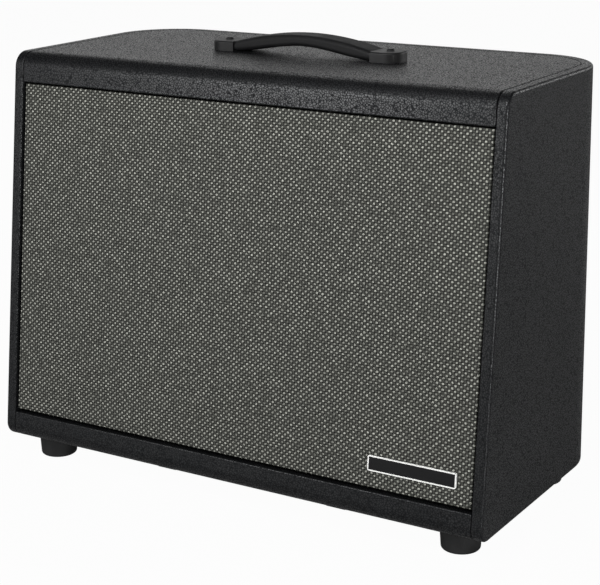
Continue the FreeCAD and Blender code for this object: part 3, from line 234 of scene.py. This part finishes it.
def wooden(name, pale, dark, roughness, rings):
    """Wood, bare or sprayed, whose rings and flecks show in its tone, gloss and relief."""
    material, tree, sockets = new_material(name)
    grain = use_group(tree, wood_grain, Rings=rings)
    tree.links.new(blend_colours(tree, grain["Ring"], pale, dark), sockets["Base Color"])
    roughen(tree, sockets, roughness, grain["Fleck"], FLECK_ROUGHENING)
    emboss(tree, sockets, grain["Height"], WOOD_RELIEF)
    return material


def grey(level):
    """A neutral colour, with this level of red, green and blue."""
    return (level, level, level)


dress(wooden("black_plywood", grey(0.012), grey(0.007), roughness=0.62, rings=60.0),
      "baffle_board", "grille_frame")
dress(wooden("bare_wood", (0.56, 0.41, 0.25), (0.38, 0.25, 0.13), roughness=0.5, rings=90.0),
      "back_cleats")


# Grille: a plain weave of pale grey weft over black warp, stretched over its frame and glued down along
# the frame's edges. The frame is held on by hook strips, a little behind the front of the shell.

front_axis = Vector(next(joint for joint in frame["joints"] if joint["name"] == "cone_travel")["axis"])
slope_up = Vector((0.0, front_axis.z, -front_axis.y))


def front_span(name):
    """Bounds of a piece across the front: (x, depth behind it, height up its slope), in metres."""
    spots = [vertex.co for vertex in frame["nodes"][name].data.vertices]
    local = [(spot.x, -spot.dot(front_axis), spot.dot(slope_up)) for spot in spots]
    return [(min(row), max(row)) for row in zip(*local)]


def front_point(x, depth, height):
    """The point at these places across the front, behind it and up its slope."""
    return Vector((x, 0.0, 0.0)) - front_axis * depth + slope_up * height


def front_place(tree):
    """The place on the front in a material: the whole point, its x and its height up the slope."""
    spot = add_node(tree, "TexCoord").outputs["Object"]
    across = add_node(tree, "SeparateXYZ", {0: spot}).outputs["X"]
    upward = add_node(tree, "VectorMath", {0: spot, 1: slope_up}, operation="DOT_PRODUCT").outputs["Value"]
    return spot, across, upward


WARP_PITCH = 3.105 * MM
WEFT_PITCH = 2.688 * MM
THREAD_RISE = 0.42 * MM
THREAD_STEPS = 2
END_CLEARANCE = 0.25
CLOTH_THICKNESS = 0.8 * MM
CLOTH_EDGE_RADIUS = 2.6 * MM
EDGE_STEPS = 4
(cloth_left, cloth_right), (cloth_front, cloth_back), (cloth_foot, cloth_head) = front_span("grille_cloth")


def thread_rise(x, height):
    """How far the threads stand up at a point of the cloth: a low dome on each crossing."""
    return THREAD_RISE * abs(math.sin(math.pi * x / WARP_PITCH) * math.sin(math.pi * height / WEFT_PITCH))


def thread_lines(low, high, pitch):
    """Places along one direction: the two ends, and the steps of each thread that are clear of them."""
    step = pitch / THREAD_STEPS
    first = math.ceil(low / step + END_CLEARANCE)
    last = math.floor(high / step - END_CLEARANCE)
    return [low] + [number * step for number in range(first, last + 1)] + [high]


cloth_mesh = bmesh.new()
columns = thread_lines(cloth_left + CLOTH_EDGE_RADIUS, cloth_right - CLOTH_EDGE_RADIUS, WARP_PITCH)
rows = thread_lines(cloth_foot + CLOTH_EDGE_RADIUS, cloth_head - CLOTH_EDGE_RADIUS, WEFT_PITCH)
grid = []
for height in rows:
    spots = [front_point(x, cloth_front + THREAD_RISE - thread_rise(x, height), height) for x in columns]
    grid.append([cloth_mesh.verts.new(spot) for spot in spots])
for low, high in zip(grid, grid[1:]):
    for corner in range(len(columns) - 1):
        cloth_mesh.faces.new((low[corner], low[corner + 1], high[corner + 1], high[corner]))

rim = grid[0] + [row[-1] for row in grid[1:-1]] + grid[-1][::-1] + [row[0] for row in grid[-2:0:-1]]
rim_places = [(x, rows[0]) for x in columns] + [(columns[-1], height) for height in rows[1:-1]]
rim_places += [(x, rows[-1]) for x in columns[::-1]] + [(columns[0], height) for height in rows[-2:0:-1]]
side_of = [((x == columns[-1]) - (x == columns[0]), (height == rows[-1]) - (height == rows[0]))
           for x, height in rim_places]
angles = [math.pi / 2 * step / EDGE_STEPS for step in range(1, EDGE_STEPS + 1)]
profile = [(CLOTH_EDGE_RADIUS * math.sin(angle), CLOTH_EDGE_RADIUS * (1 - math.cos(angle)))
           for angle in angles]
profile += [(CLOTH_EDGE_RADIUS, cloth_back - cloth_front)]
inner_radius = CLOTH_EDGE_RADIUS - CLOTH_THICKNESS
profile += [(inner_radius, cloth_back - cloth_front), (inner_radius, CLOTH_EDGE_RADIUS)]
profile += [(0.0, CLOTH_THICKNESS + THREAD_RISE)]
for reach, depth in profile:
    spots = [front_point(x + reach * side[0], cloth_front + depth, height + reach * side[1])
             for (x, height), side in zip(rim_places, side_of)]
    loop = [cloth_mesh.verts.new(spot) for spot in spots]
    for number in range(len(loop)):
        after = (number + 1) % len(loop)
        cloth_mesh.faces.new((rim[after], rim[number], loop[number], loop[after]))
    rim = loop
cloth_mesh.faces.new(rim)
bmesh.ops.recalc_face_normals(cloth_mesh, faces=cloth_mesh.faces)


def new_piece(name, mesh, material, body, smooth=True):
    """Turns a bmesh into a named piece with its material, which rides on a body."""
    data = bpy.data.meshes.new(name)
    for face in mesh.faces:
        face.smooth = smooth
    mesh.to_mesh(data)
    mesh.free()
    data.materials.append(material)
    piece = bpy.data.objects.new(name, data)
    bpy.context.scene.collection.objects.link(piece)
    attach(piece, body)
    return piece


def unsettle(tree, value, cloud, amount):
    """Moves a value either way by up to half this amount, as a cloud of 0 to 1 says."""
    return calc(tree, "MULTIPLY_ADD", calc(tree, "SUBTRACT", cloud, 0.5), amount, value)


WEFT_PALE = (0.38, 0.385, 0.343)
WEFT_SHADE = (0.1, 0.102, 0.089)
WARP_GREY = (0.044, 0.045, 0.039)
GAP_SHADE = (0.003, 0.003, 0.0025)
THREAD_SWAY = 0.5 * MM
SWAY_SCALE = 210.0
FLOAT_UNEVEN = 0.6
FLOAT_SPAN = (0.2, 0.62)
GAP_SPAN = (0.05, 0.6)
CORNER_SPAN = (0.1, 0.9)
CORNER_GAP = 0.35
PLY_PITCH = 0.8 * MM
PLY_RISE = 0.15
WEAR_SCALE = 330.0
WEAVE_RELIEF = 0.25 * MM
weave, tree, sockets = new_material("grille_weave", Roughness=0.75, Specular_IOR_Level=0.25)
spot, across, upward = front_place(tree)
sway = add_node(tree, "SeparateXYZ", {0: noise(tree, spot, SWAY_SCALE, 2.0, "Color")}).outputs
warp_turn = calc(tree, "MULTIPLY", unsettle(tree, across, sway["X"], THREAD_SWAY), math.pi / WARP_PITCH)
weft_turn = calc(tree, "MULTIPLY", unsettle(tree, upward, sway["Y"], THREAD_SWAY), math.pi / WEFT_PITCH)
checker = calc(tree, "MULTIPLY", calc(tree, "SINE", warp_turn), calc(tree, "SINE", weft_turn))
corners = calc(tree, "MULTIPLY", calc(tree, "COSINE", warp_turn), calc(tree, "COSINE", weft_turn))
float_mask = ramp(tree, unsettle(tree, checker, sway["Z"], FLOAT_UNEVEN), *FLOAT_SPAN)
crown = calc(tree, "ABSOLUTE", checker)
corner_mask = fade(tree, corners, *CORNER_SPAN, CORNER_GAP)
# Where the threads part, the cloth is painted near black: painted shade between the threads.
gap_shade_mask = calc(tree, "MULTIPLY", fade(tree, crown, *GAP_SPAN), corner_mask)
slant = calc(tree, "ADD", across, upward)
ply = calc(tree, "SINE", calc(tree, "MULTIPLY", slant, 2 * math.pi / PLY_PITCH))
wear = ramp(tree, noise(tree, spot, WEAR_SCALE, 3.0), *CLOUD_SPAN)
weft = blend_colours(tree, wear, WEFT_SHADE, WEFT_PALE)
warp = blend_colours(tree, gap_shade_mask, WARP_GREY, GAP_SHADE)
tree.links.new(blend_colours(tree, float_mask, warp, weft), sockets["Base Color"])
emboss(tree, sockets, calc(tree, "MULTIPLY_ADD", ply, PLY_RISE, crown), WEAVE_RELIEF)

cloth = new_piece("grille_weave", cloth_mesh, weave, "cabinet")
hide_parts("grille_cloth")


# Hook strips: black loop pile, stuck to the grille frame and the baffle, which hold the grille on.
# Like every moulded or coated piece further on, from rubber to paper, their skin is finely pebbled.

PEBBLE_SPAN = (0.1, 0.8)
MOTTLE_SCALE = 55.0
MOTTLE_ROUGHENING = 0.1
fine_pebble, given, gives = new_group("fine_pebble", {"Pebbles": 1500.0}, ("Height", "Tone"))
place = add_node(fine_pebble, "TexCoord").outputs["Object"]
pebble = fade(fine_pebble, cell_distance(fine_pebble, place, given["Pebbles"]), *PEBBLE_SPAN)
mottle = ramp(fine_pebble, noise(fine_pebble, place, MOTTLE_SCALE, 4.0), *CLOUD_SPAN)
fine_pebble.links.new(pebble, gives["Height"])
fine_pebble.links.new(mottle, gives["Tone"])


def moulded(name, colour, lighter, roughness, pebbles=1500.0, depth=0.03 * MM, **constants):
    """A moulded or coated surface: its tone and gloss drift a little and its skin is finely pebbled."""
    material, tree, sockets = new_material(name, **constants)
    skin = use_group(tree, fine_pebble, Pebbles=pebbles)
    tree.links.new(blend_colours(tree, skin["Tone"], colour, lighter), sockets["Base Color"])
    roughen(tree, sockets, roughness, skin["Tone"], MOTTLE_ROUGHENING)
    emboss(tree, sockets, skin["Height"], depth)
    return material


dress(moulded("hook_strip", grey(0.01), grey(0.03), roughness=0.85, pebbles=2500.0, depth=0.4 * MM),
      "grille_pads")


# Badge: a thin bare plate at the lower right of the grille, black enamel with a pale polished rim.
# It is stuck to the cloth.

BADGE_RIM = 1.3 * MM
RIM_SOFTNESS = 0.1 * MM
RIM_DULL = (0.72, 0.72, 0.70)
RIM_BRIGHT = (0.86, 0.86, 0.84)
ENAMEL = (0.004, 0.004, 0.0045)
ENAMEL_PALE = (0.008, 0.008, 0.0085)
BADGE_ROUGHNESS = 0.28
BRUSH_SCALES = (40.0, 1500.0, 1500.0)
BRUSH_ROUGHENING = 0.15
BRUSH_RISE = 0.1
BADGE_RELIEF = 0.12 * MM
(badge_left, badge_right), _, (badge_foot, badge_head) = front_span("badge_plate")


def inside(tree, value, low, high):
    """Distance from a value to the nearer of two limits."""
    return calc(tree, "MINIMUM", calc(tree, "SUBTRACT", value, low), calc(tree, "SUBTRACT", high, value))


badge, tree, sockets = new_material("badge_metal", Specular_IOR_Level=0.2)
spot, across, upward = front_place(tree)
from_ends = inside(tree, across, badge_left, badge_right)
from_edges = inside(tree, upward, badge_foot, badge_head)
from_outline = calc(tree, "MINIMUM", from_ends, from_edges)
rim_mask = fade(tree, from_outline, BADGE_RIM - RIM_SOFTNESS, BADGE_RIM + RIM_SOFTNESS)
streak = add_node(tree, "Mapping", {"Vector": spot, "Scale": BRUSH_SCALES}).outputs[0]
brushed = noise(tree, streak, 1.0, 3.0)
enamel = blend_colours(tree, brushed, ENAMEL, ENAMEL_PALE)
polished = blend_colours(tree, brushed, RIM_DULL, RIM_BRIGHT)
tree.links.new(blend_colours(tree, rim_mask, enamel, polished), sockets["Base Color"])
roughen(tree, sockets, BADGE_ROUGHNESS, brushed, BRUSH_ROUGHENING)
emboss(tree, sockets, calc(tree, "MULTIPLY_ADD", brushed, BRUSH_RISE, rim_mask), BADGE_RELIEF)
dress(badge, "badge_plate")


# Driver: a cast basket bolted to the baffle, with a felted paper cone, doped cloth edge, resin-dipped
# spider, wire coil, ferrite magnet between steel plates, and a compression driver behind the pole.

ALONG_STROKES = (0.03, 1.0, 1.0)
STROKE_SHARE = 0.4
TARNISH_SCALE = 70.0
TARNISH_SPAN = (0.4, 1.0)
TARNISH_ROUGHENING = 0.15
METAL_RELIEF = 0.02 * MM
brushed_metal, given, gives = new_group("brushed_metal", {"Lines": 1200.0}, ("Height", "Tone"))
place = add_node(brushed_metal, "TexCoord").outputs["Object"]
drawn = add_node(brushed_metal, "Mapping", {"Vector": place, "Scale": ALONG_STROKES}).outputs[0]
strokes = noise(brushed_metal, drawn, given["Lines"], 2.0)
cloud = noise(brushed_metal, place, TARNISH_SCALE, 4.0)
brushed_metal.links.new(strokes, gives["Height"])
brushed_metal.links.new(calc(brushed_metal, "MULTIPLY_ADD", strokes, STROKE_SHARE, cloud), gives["Tone"])


def metal(name, colour, lighter, roughness):
    """Bare or plated metal with fine drawn lines and a cloudy tarnish."""
    material, tree, sockets = new_material(name, Metallic=1.0)
    skin = use_group(tree, brushed_metal)
    tarnish = ramp(tree, skin["Tone"], *TARNISH_SPAN)
    tree.links.new(blend_colours(tree, tarnish, colour, lighter), sockets["Base Color"])
    roughen(tree, sockets, roughness, skin["Tone"], TARNISH_ROUGHENING)
    emboss(tree, sockets, skin["Height"], METAL_RELIEF)
    return material


dress(moulded("cast_basket", (0.02, 0.02, 0.021), (0.035, 0.035, 0.036),
              roughness=0.42, pebbles=900.0, depth=0.06 * MM), "speaker_basket")
dress(moulded("cork_gasket", (0.3, 0.19, 0.1), (0.48, 0.33, 0.19),
              roughness=0.8, pebbles=700.0, depth=0.2 * MM), "speaker_gasket")
dress(moulded("cone_paper", grey(0.03), (0.06, 0.058, 0.055),
              roughness=0.85, pebbles=1300.0, depth=0.1 * MM), "speaker_cone")
dress(moulded("pleated_edge", (0.015, 0.015, 0.014), (0.035, 0.034, 0.03),
              roughness=0.55, pebbles=1800.0, depth=0.08 * MM), "speaker_surround")
dress(moulded("spider_cloth", (0.42, 0.24, 0.06), (0.62, 0.4, 0.14),
              roughness=0.7, pebbles=1400.0, depth=0.1 * MM), "speaker_spider")
dress(metal("coil_wire", (0.5, 0.25, 0.13), (0.72, 0.42, 0.26), roughness=0.3), "voice_coil")
dress(moulded("ferrite", (0.035, 0.035, 0.037), (0.07, 0.07, 0.072),
              roughness=0.45, pebbles=1100.0, depth=0.05 * MM), "speaker_magnet")
dress(moulded("horn_plastic", grey(0.012), grey(0.022), roughness=0.4), "hf_waveguide")
dress(moulded("driver_can", (0.018, 0.018, 0.019), (0.03, 0.03, 0.032), roughness=0.38, pebbles=1700.0),
      "hf_driver")
dress(moulded("terminal_board", (0.11, 0.055, 0.02), (0.18, 0.1, 0.045), roughness=0.55),
      "speaker_terminal")
dress(moulded("lead_cover", grey(0.012), grey(0.022), roughness=0.5), "speaker_leads")
zinc = metal("zinc_steel", (0.42, 0.42, 0.4), (0.66, 0.65, 0.6), roughness=0.32)
dress(zinc, "speaker_tee_nuts", "speaker_top_plate", "speaker_back_plate")


# Amplifier: boards, heat sink, capacitors and transformer in a folded case of zinc-plated steel behind
# the back panel. Its steel control panel is powder coated black and screwed over the opening.

dress(zinc, "amp_chassis")
dress(moulded("circuit_board", (0.012, 0.11, 0.045), (0.025, 0.19, 0.08), roughness=0.35, pebbles=1900.0),
      "control_board", "power_board")
dress(metal("heat_sink_metal", (0.05, 0.05, 0.052), (0.09, 0.09, 0.092), roughness=0.4), "heat_sink")
dress(moulded("capacitor_sleeve", (0.012, 0.016, 0.05), (0.025, 0.03, 0.08), roughness=0.25),
      "filter_capacitors")
dress(metal("transformer_steel", (0.16, 0.14, 0.11), (0.28, 0.26, 0.22), roughness=0.5),
      "power_transformer")
dress(moulded("panel_paint", (0.012, 0.012, 0.0125), (0.02, 0.02, 0.021),
              roughness=0.42, pebbles=2300.0, depth=0.05 * MM), "control_panel")


# Controls: moulded knobs on the pots, push button, rocker switch, jack sockets and mains inlet, held by
# nuts or snapped into the panel. All are black plastic apart from the pale push button. Each knob has a
# pale pointer laid into its face, and pale ticks are printed round it.

dress(zinc, "potentiometers")
dress(moulded("socket_plastic", grey(0.01), grey(0.018), roughness=0.38),
      "input_jack", "link_jack", "power_inlet", "power_switch", "lift_switch")
dress(moulded("rocker_plastic", grey(0.01), grey(0.016), roughness=0.2, pebbles=2600.0, depth=0.01 * MM),
      "power_rocker")
dress(moulded("button_plastic", (0.5, 0.5, 0.48), (0.62, 0.62, 0.59),
              roughness=0.3, pebbles=2600.0, depth=0.01 * MM), "lift_button")
dress(moulded("knob_plastic", grey(0.012), grey(0.02), roughness=0.48, pebbles=2400.0, depth=0.03 * MM),
      "volume_knob", "voicing_knob", "low_cut_knob")


def node_span(name):
    """Bounds of a CAD node along each axis, in metres."""
    spots = [vertex.co for vertex in frame["nodes"][name].data.vertices]
    return [(min(row), max(row)) for row in zip(*spots)]


def add_bar(mesh, middle, angle, reach, width, depths):
    """A flat bar that faces the rear and points away from a middle, at an angle from straight up."""
    outward = Vector((math.sin(angle), 0.0, math.cos(angle)))
    sideways = Vector((math.cos(angle), 0.0, -math.sin(angle))) * (width / 2)
    faces = []
    for depth in depths:
        base = Vector((middle[0], depth, middle[1]))
        ends = [base + outward * distance for distance in reach]
        outline = [ends[0] - sideways, ends[0] + sideways, ends[1] + sideways, ends[1] - sideways]
        faces.append([mesh.verts.new(spot) for spot in outline])
    for face in faces:
        mesh.faces.new(face)
    for first, second in ((0, 1), (1, 2), (2, 3), (3, 0)):
        mesh.faces.new((faces[0][first], faces[0][second], faces[1][second], faces[1][first]))


TICK_STEP = 30
TICK_SWEEPS = {"volume_knob": 150, "low_cut_knob": 150, "voicing_knob": 180 - TICK_STEP / 2}
TICK_REACH = (10.2 * MM, 12.6 * MM)
TICK_WIDTH = 0.7 * MM
INK_DEPTH = 0.08 * MM
POINTER_REACH = (0.4 * MM, 5.2 * MM)
POINTER_WIDTH = 1.2 * MM
POINTER_DEPTHS = (0.5 * MM, 0.1 * MM)
ink = moulded("panel_ink", (0.55, 0.55, 0.53), (0.68, 0.68, 0.65),
              roughness=0.5, pebbles=2600.0, depth=0.01 * MM)
panel_face = node_span("control_panel")[1][1]
ticks = bmesh.new()
for name, sweep in TICK_SWEEPS.items():
    across, depths, upward = node_span(name)
    middle = ((across[0] + across[1]) / 2, (upward[0] + upward[1]) / 2)
    for number in range(round(2 * sweep / TICK_STEP) + 1):
        angle = math.radians(number * TICK_STEP - sweep)
        add_bar(ticks, middle, angle, TICK_REACH, TICK_WIDTH, (panel_face, panel_face + INK_DEPTH))
    pointer = bmesh.new()
    sunk = [depths[1] - depth for depth in POINTER_DEPTHS]
    add_bar(pointer, middle, 0.0, POINTER_REACH, POINTER_WIDTH, sunk)
    bmesh.ops.recalc_face_normals(pointer, faces=pointer.faces)
    new_piece(name + "_pointer", pointer, ink, name, smooth=False)
bmesh.ops.recalc_face_normals(ticks, faces=ticks.faces)
new_piece("dial_ticks", ticks, ink, "cabinet", smooth=False)


# Screws and bolts: steel with a black oxide skin. The driver's bolts go into tee nuts behind the baffle,
# and all others are driven into wood.

dress(metal("black_screw", (0.03, 0.03, 0.031), (0.07, 0.07, 0.072), roughness=0.36),
      "handle_screws", "rear_screws", "base_screws", "speaker_bolts")


# Carrying handle: a soft moulded strap, black and almost matt.
# Its ends lie under two harder plastic caps, which are screwed to the top.

dress(moulded("handle_rubber", (0.004, 0.004, 0.0045), (0.008, 0.008, 0.0085),
              roughness=0.55, pebbles=1800.0, depth=0.05 * MM, Specular_IOR_Level=0.22), "handle_strap")
dress(moulded("handle_plastic", (0.005, 0.005, 0.0055), (0.010, 0.010, 0.0105),
              roughness=0.42, pebbles=2000.0, depth=0.05 * MM, Specular_IOR_Level=0.3),
      "handle_cap_left", "handle_cap_right")


# Feet and tilt stand: four rubber feet screwed to the bottom, and between the front pair a bent steel
# rod that swings in two nylon blocks.

dress(moulded("foot_rubber", (0.007, 0.0072, 0.0075), (0.013, 0.0132, 0.0136),
              roughness=0.6, pebbles=1700.0, depth=0.06 * MM, Specular_IOR_Level=0.3),
      "foot_front_left", "foot_front_right", "foot_rear_left", "foot_rear_right")
dress(moulded("bail_steel", grey(0.012), grey(0.022), roughness=0.4, pebbles=2100.0), "tilt_bail")
dress(moulded("nylon", grey(0.015), grey(0.026), roughness=0.5), "bail_pivot_blocks")


# Studio: a pale floor and a white backdrop under a dark ceiling, with five soft boxes. Two stand in
# front on the left and the right, one hangs higher between them, and two light the back. From below,
# the floor is clear.

def white_share(tree, seen_share, mirrored_share):
    """How white the studio shows: one share to the camera or through glass, one in glossy surfaces."""
    rays = add_node(tree, "LightPath").outputs
    seen = calc(tree, "MAXIMUM", rays["Is Camera Ray"], rays["Is Transmission Ray"])
    mirrored = calc(tree, "MULTIPLY", rays["Is Glossy Ray"], mirrored_share)
    return calc(tree, "MAXIMUM", calc(tree, "MULTIPLY", seen, seen_share), mirrored)


FLOOR_SIZE = 40.0
FLOOR_PALE = grey(0.42)
FLOOR_WHITE = 0.97
FLOOR_MIRRORED = 0.06
CONTACT_REACH = 1.5
CONTACT_SAMPLES = 8
WHITE = (1.0, 1.0, 1.0, 1.0)
floor_mesh = bpy.data.meshes.new("floor")
half = FLOOR_SIZE / 2
floor_corners = [(-half, -half, 0), (half, -half, 0), (half, half, 0), (-half, half, 0)]
floor_mesh.from_pydata(floor_corners, [], [(0, 1, 2, 3)])
floor = bpy.data.objects.new("floor", floor_mesh)
bpy.context.scene.collection.objects.link(floor)
floor_paint, tree, sockets = new_material("floor_paint", Roughness=0.9, Specular_IOR_Level=0.1)
sockets["Base Color"].default_value = (*FLOOR_PALE, 1.0)
output = next(node for node in tree.nodes if node.type == "OUTPUT_MATERIAL")
lit = output.inputs["Surface"].links[0].from_socket
# Near the cabinet an occlusion mask dims the white that glossy surfaces see in the floor: a painted
# shadow.
contact_shade = add_node(tree, "AmbientOcclusion", {"Distance": CONTACT_REACH}, samples=CONTACT_SAMPLES)
share = white_share(tree, FLOOR_WHITE, calc(tree, "MULTIPLY", contact_shade.outputs["AO"], FLOOR_MIRRORED))
glow = add_node(tree, "Emission", {"Color": WHITE, "Strength": 1.0}).outputs[0]
upper = add_node(tree, "MixShader", {"Fac": share, 1: lit, 2: glow}).outputs[0]
from_below = add_node(tree, "NewGeometry").outputs["Backfacing"]
clear = add_node(tree, "BsdfTransparent").outputs[0]
surface = add_node(tree, "MixShader", {"Fac": from_below, 1: upper, 2: clear}).outputs[0]
tree.links.new(surface, output.inputs["Surface"])
floor_mesh.materials.append(floor_paint)

BACKDROP_WHITE = 1.0
BACKDROP_MIRRORED = 0.75
ROOM_LEVEL = 0.28
CEILING_LEVEL = 0.03
BACKDROP_TOP = (0.32, 0.42)
BACKDROP_SLOPE = 0.15
BACKDROP_SIDE = (-0.25, 0.15)
world = bpy.data.worlds.new("studio")
bpy.context.scene.world = world
world.use_nodes = True
tree = world.node_tree
background = next(node for node in tree.nodes if node.type == "BACKGROUND")
toward = add_node(tree, "SeparateXYZ", {0: add_node(tree, "TexCoord").outputs["Generated"]}).outputs
behind = ramp(tree, toward["Y"], *BACKDROP_SIDE)
rise = calc(tree, "MULTIPLY_ADD", toward["X"], BACKDROP_SLOPE, toward["Z"])
below_top = fade(tree, rise, *BACKDROP_TOP)
backdrop = calc(tree, "MULTIPLY", behind, below_top)
white = white_share(tree, BACKDROP_WHITE, calc(tree, "MULTIPLY", backdrop, BACKDROP_MIRRORED))
room = calc(tree, "MAXIMUM", calc(tree, "MULTIPLY", below_top, ROOM_LEVEL), CEILING_LEVEL)
tree.links.new(calc(tree, "MAXIMUM", room, white), background.inputs["Strength"])
background.inputs["Color"].default_value = WHITE


def softbox(name, place, width, height, radiance):
    """An area light of this size that faces the middle of the cabinet."""
    light = bpy.data.lights.new(name, "AREA")
    light.shape = "RECTANGLE"
    light.size = width
    light.size_y = height
    light.energy = radiance * math.pi * width * height
    lamp = bpy.data.objects.new(name, light)
    bpy.context.scene.collection.objects.link(lamp)
    lamp.location = place
    middle = (Vector(cad_box[0]) + Vector(cad_box[1])) / 2
    lamp.rotation_euler = (middle - lamp.location).to_track_quat("-Z", "Y").to_euler()


softbox("left_softbox", (-0.95, -1.85, 0.75), width=0.42, height=1.05, radiance=13.5)
softbox("right_softbox", (1.75, -1.1, 0.27), width=0.8, height=0.5, radiance=16.0)
softbox("high_softbox", (0.15, -1.05, 1.2), width=0.5, height=0.5, radiance=14.0)
softbox("rear_softbox", (1.6, 2.0, 0.9), width=1.6, height=1.0, radiance=2.7)
softbox("rear_high_softbox", (-1.4, 2.0, 2.6), width=1.6, height=1.0, radiance=1.6)


# Camera: in front, to the right and a little above the top, as the real cabinet was seen. Its place,
# turn and focal length are fitted to the cabinet's straight edges, in the pixels of that picture.

PICTURE_WIDTH = 600
PICTURE_HEIGHT = 585
FOCAL_PIXELS = 1683.4
OPTICAL_CENTRE = (300.1, 200.0)
CAMERA_PLACE = (0.8798, -1.4314, 0.6676)
CAMERA_AZIMUTH = math.radians(31.533)
CAMERA_ELEVATION = math.radians(12.832)
CAMERA_ROLL = math.radians(-0.405)
view = bpy.data.cameras.new("camera")
view.sensor_width = 36.0
view.lens = FOCAL_PIXELS / PICTURE_WIDTH * view.sensor_width
view.shift_x = (PICTURE_WIDTH / 2 - OPTICAL_CENTRE[0]) / PICTURE_WIDTH
view.shift_y = (OPTICAL_CENTRE[1] - PICTURE_HEIGHT / 2) / PICTURE_WIDTH
view.clip_end = 100.0
camera = bpy.data.objects.new("camera", view)
bpy.context.scene.collection.objects.link(camera)
camera.location = CAMERA_PLACE
aim = Matrix.Rotation(CAMERA_AZIMUTH, 3, "Z") @ Matrix.Rotation(math.pi / 2 - CAMERA_ELEVATION, 3, "X")
camera.rotation_euler = (aim @ Matrix.Rotation(CAMERA_ROLL, 3, "Z")).to_euler()
bpy.context.scene.camera = camera
bpy.context.scene.view_settings.view_transform = "Standard"
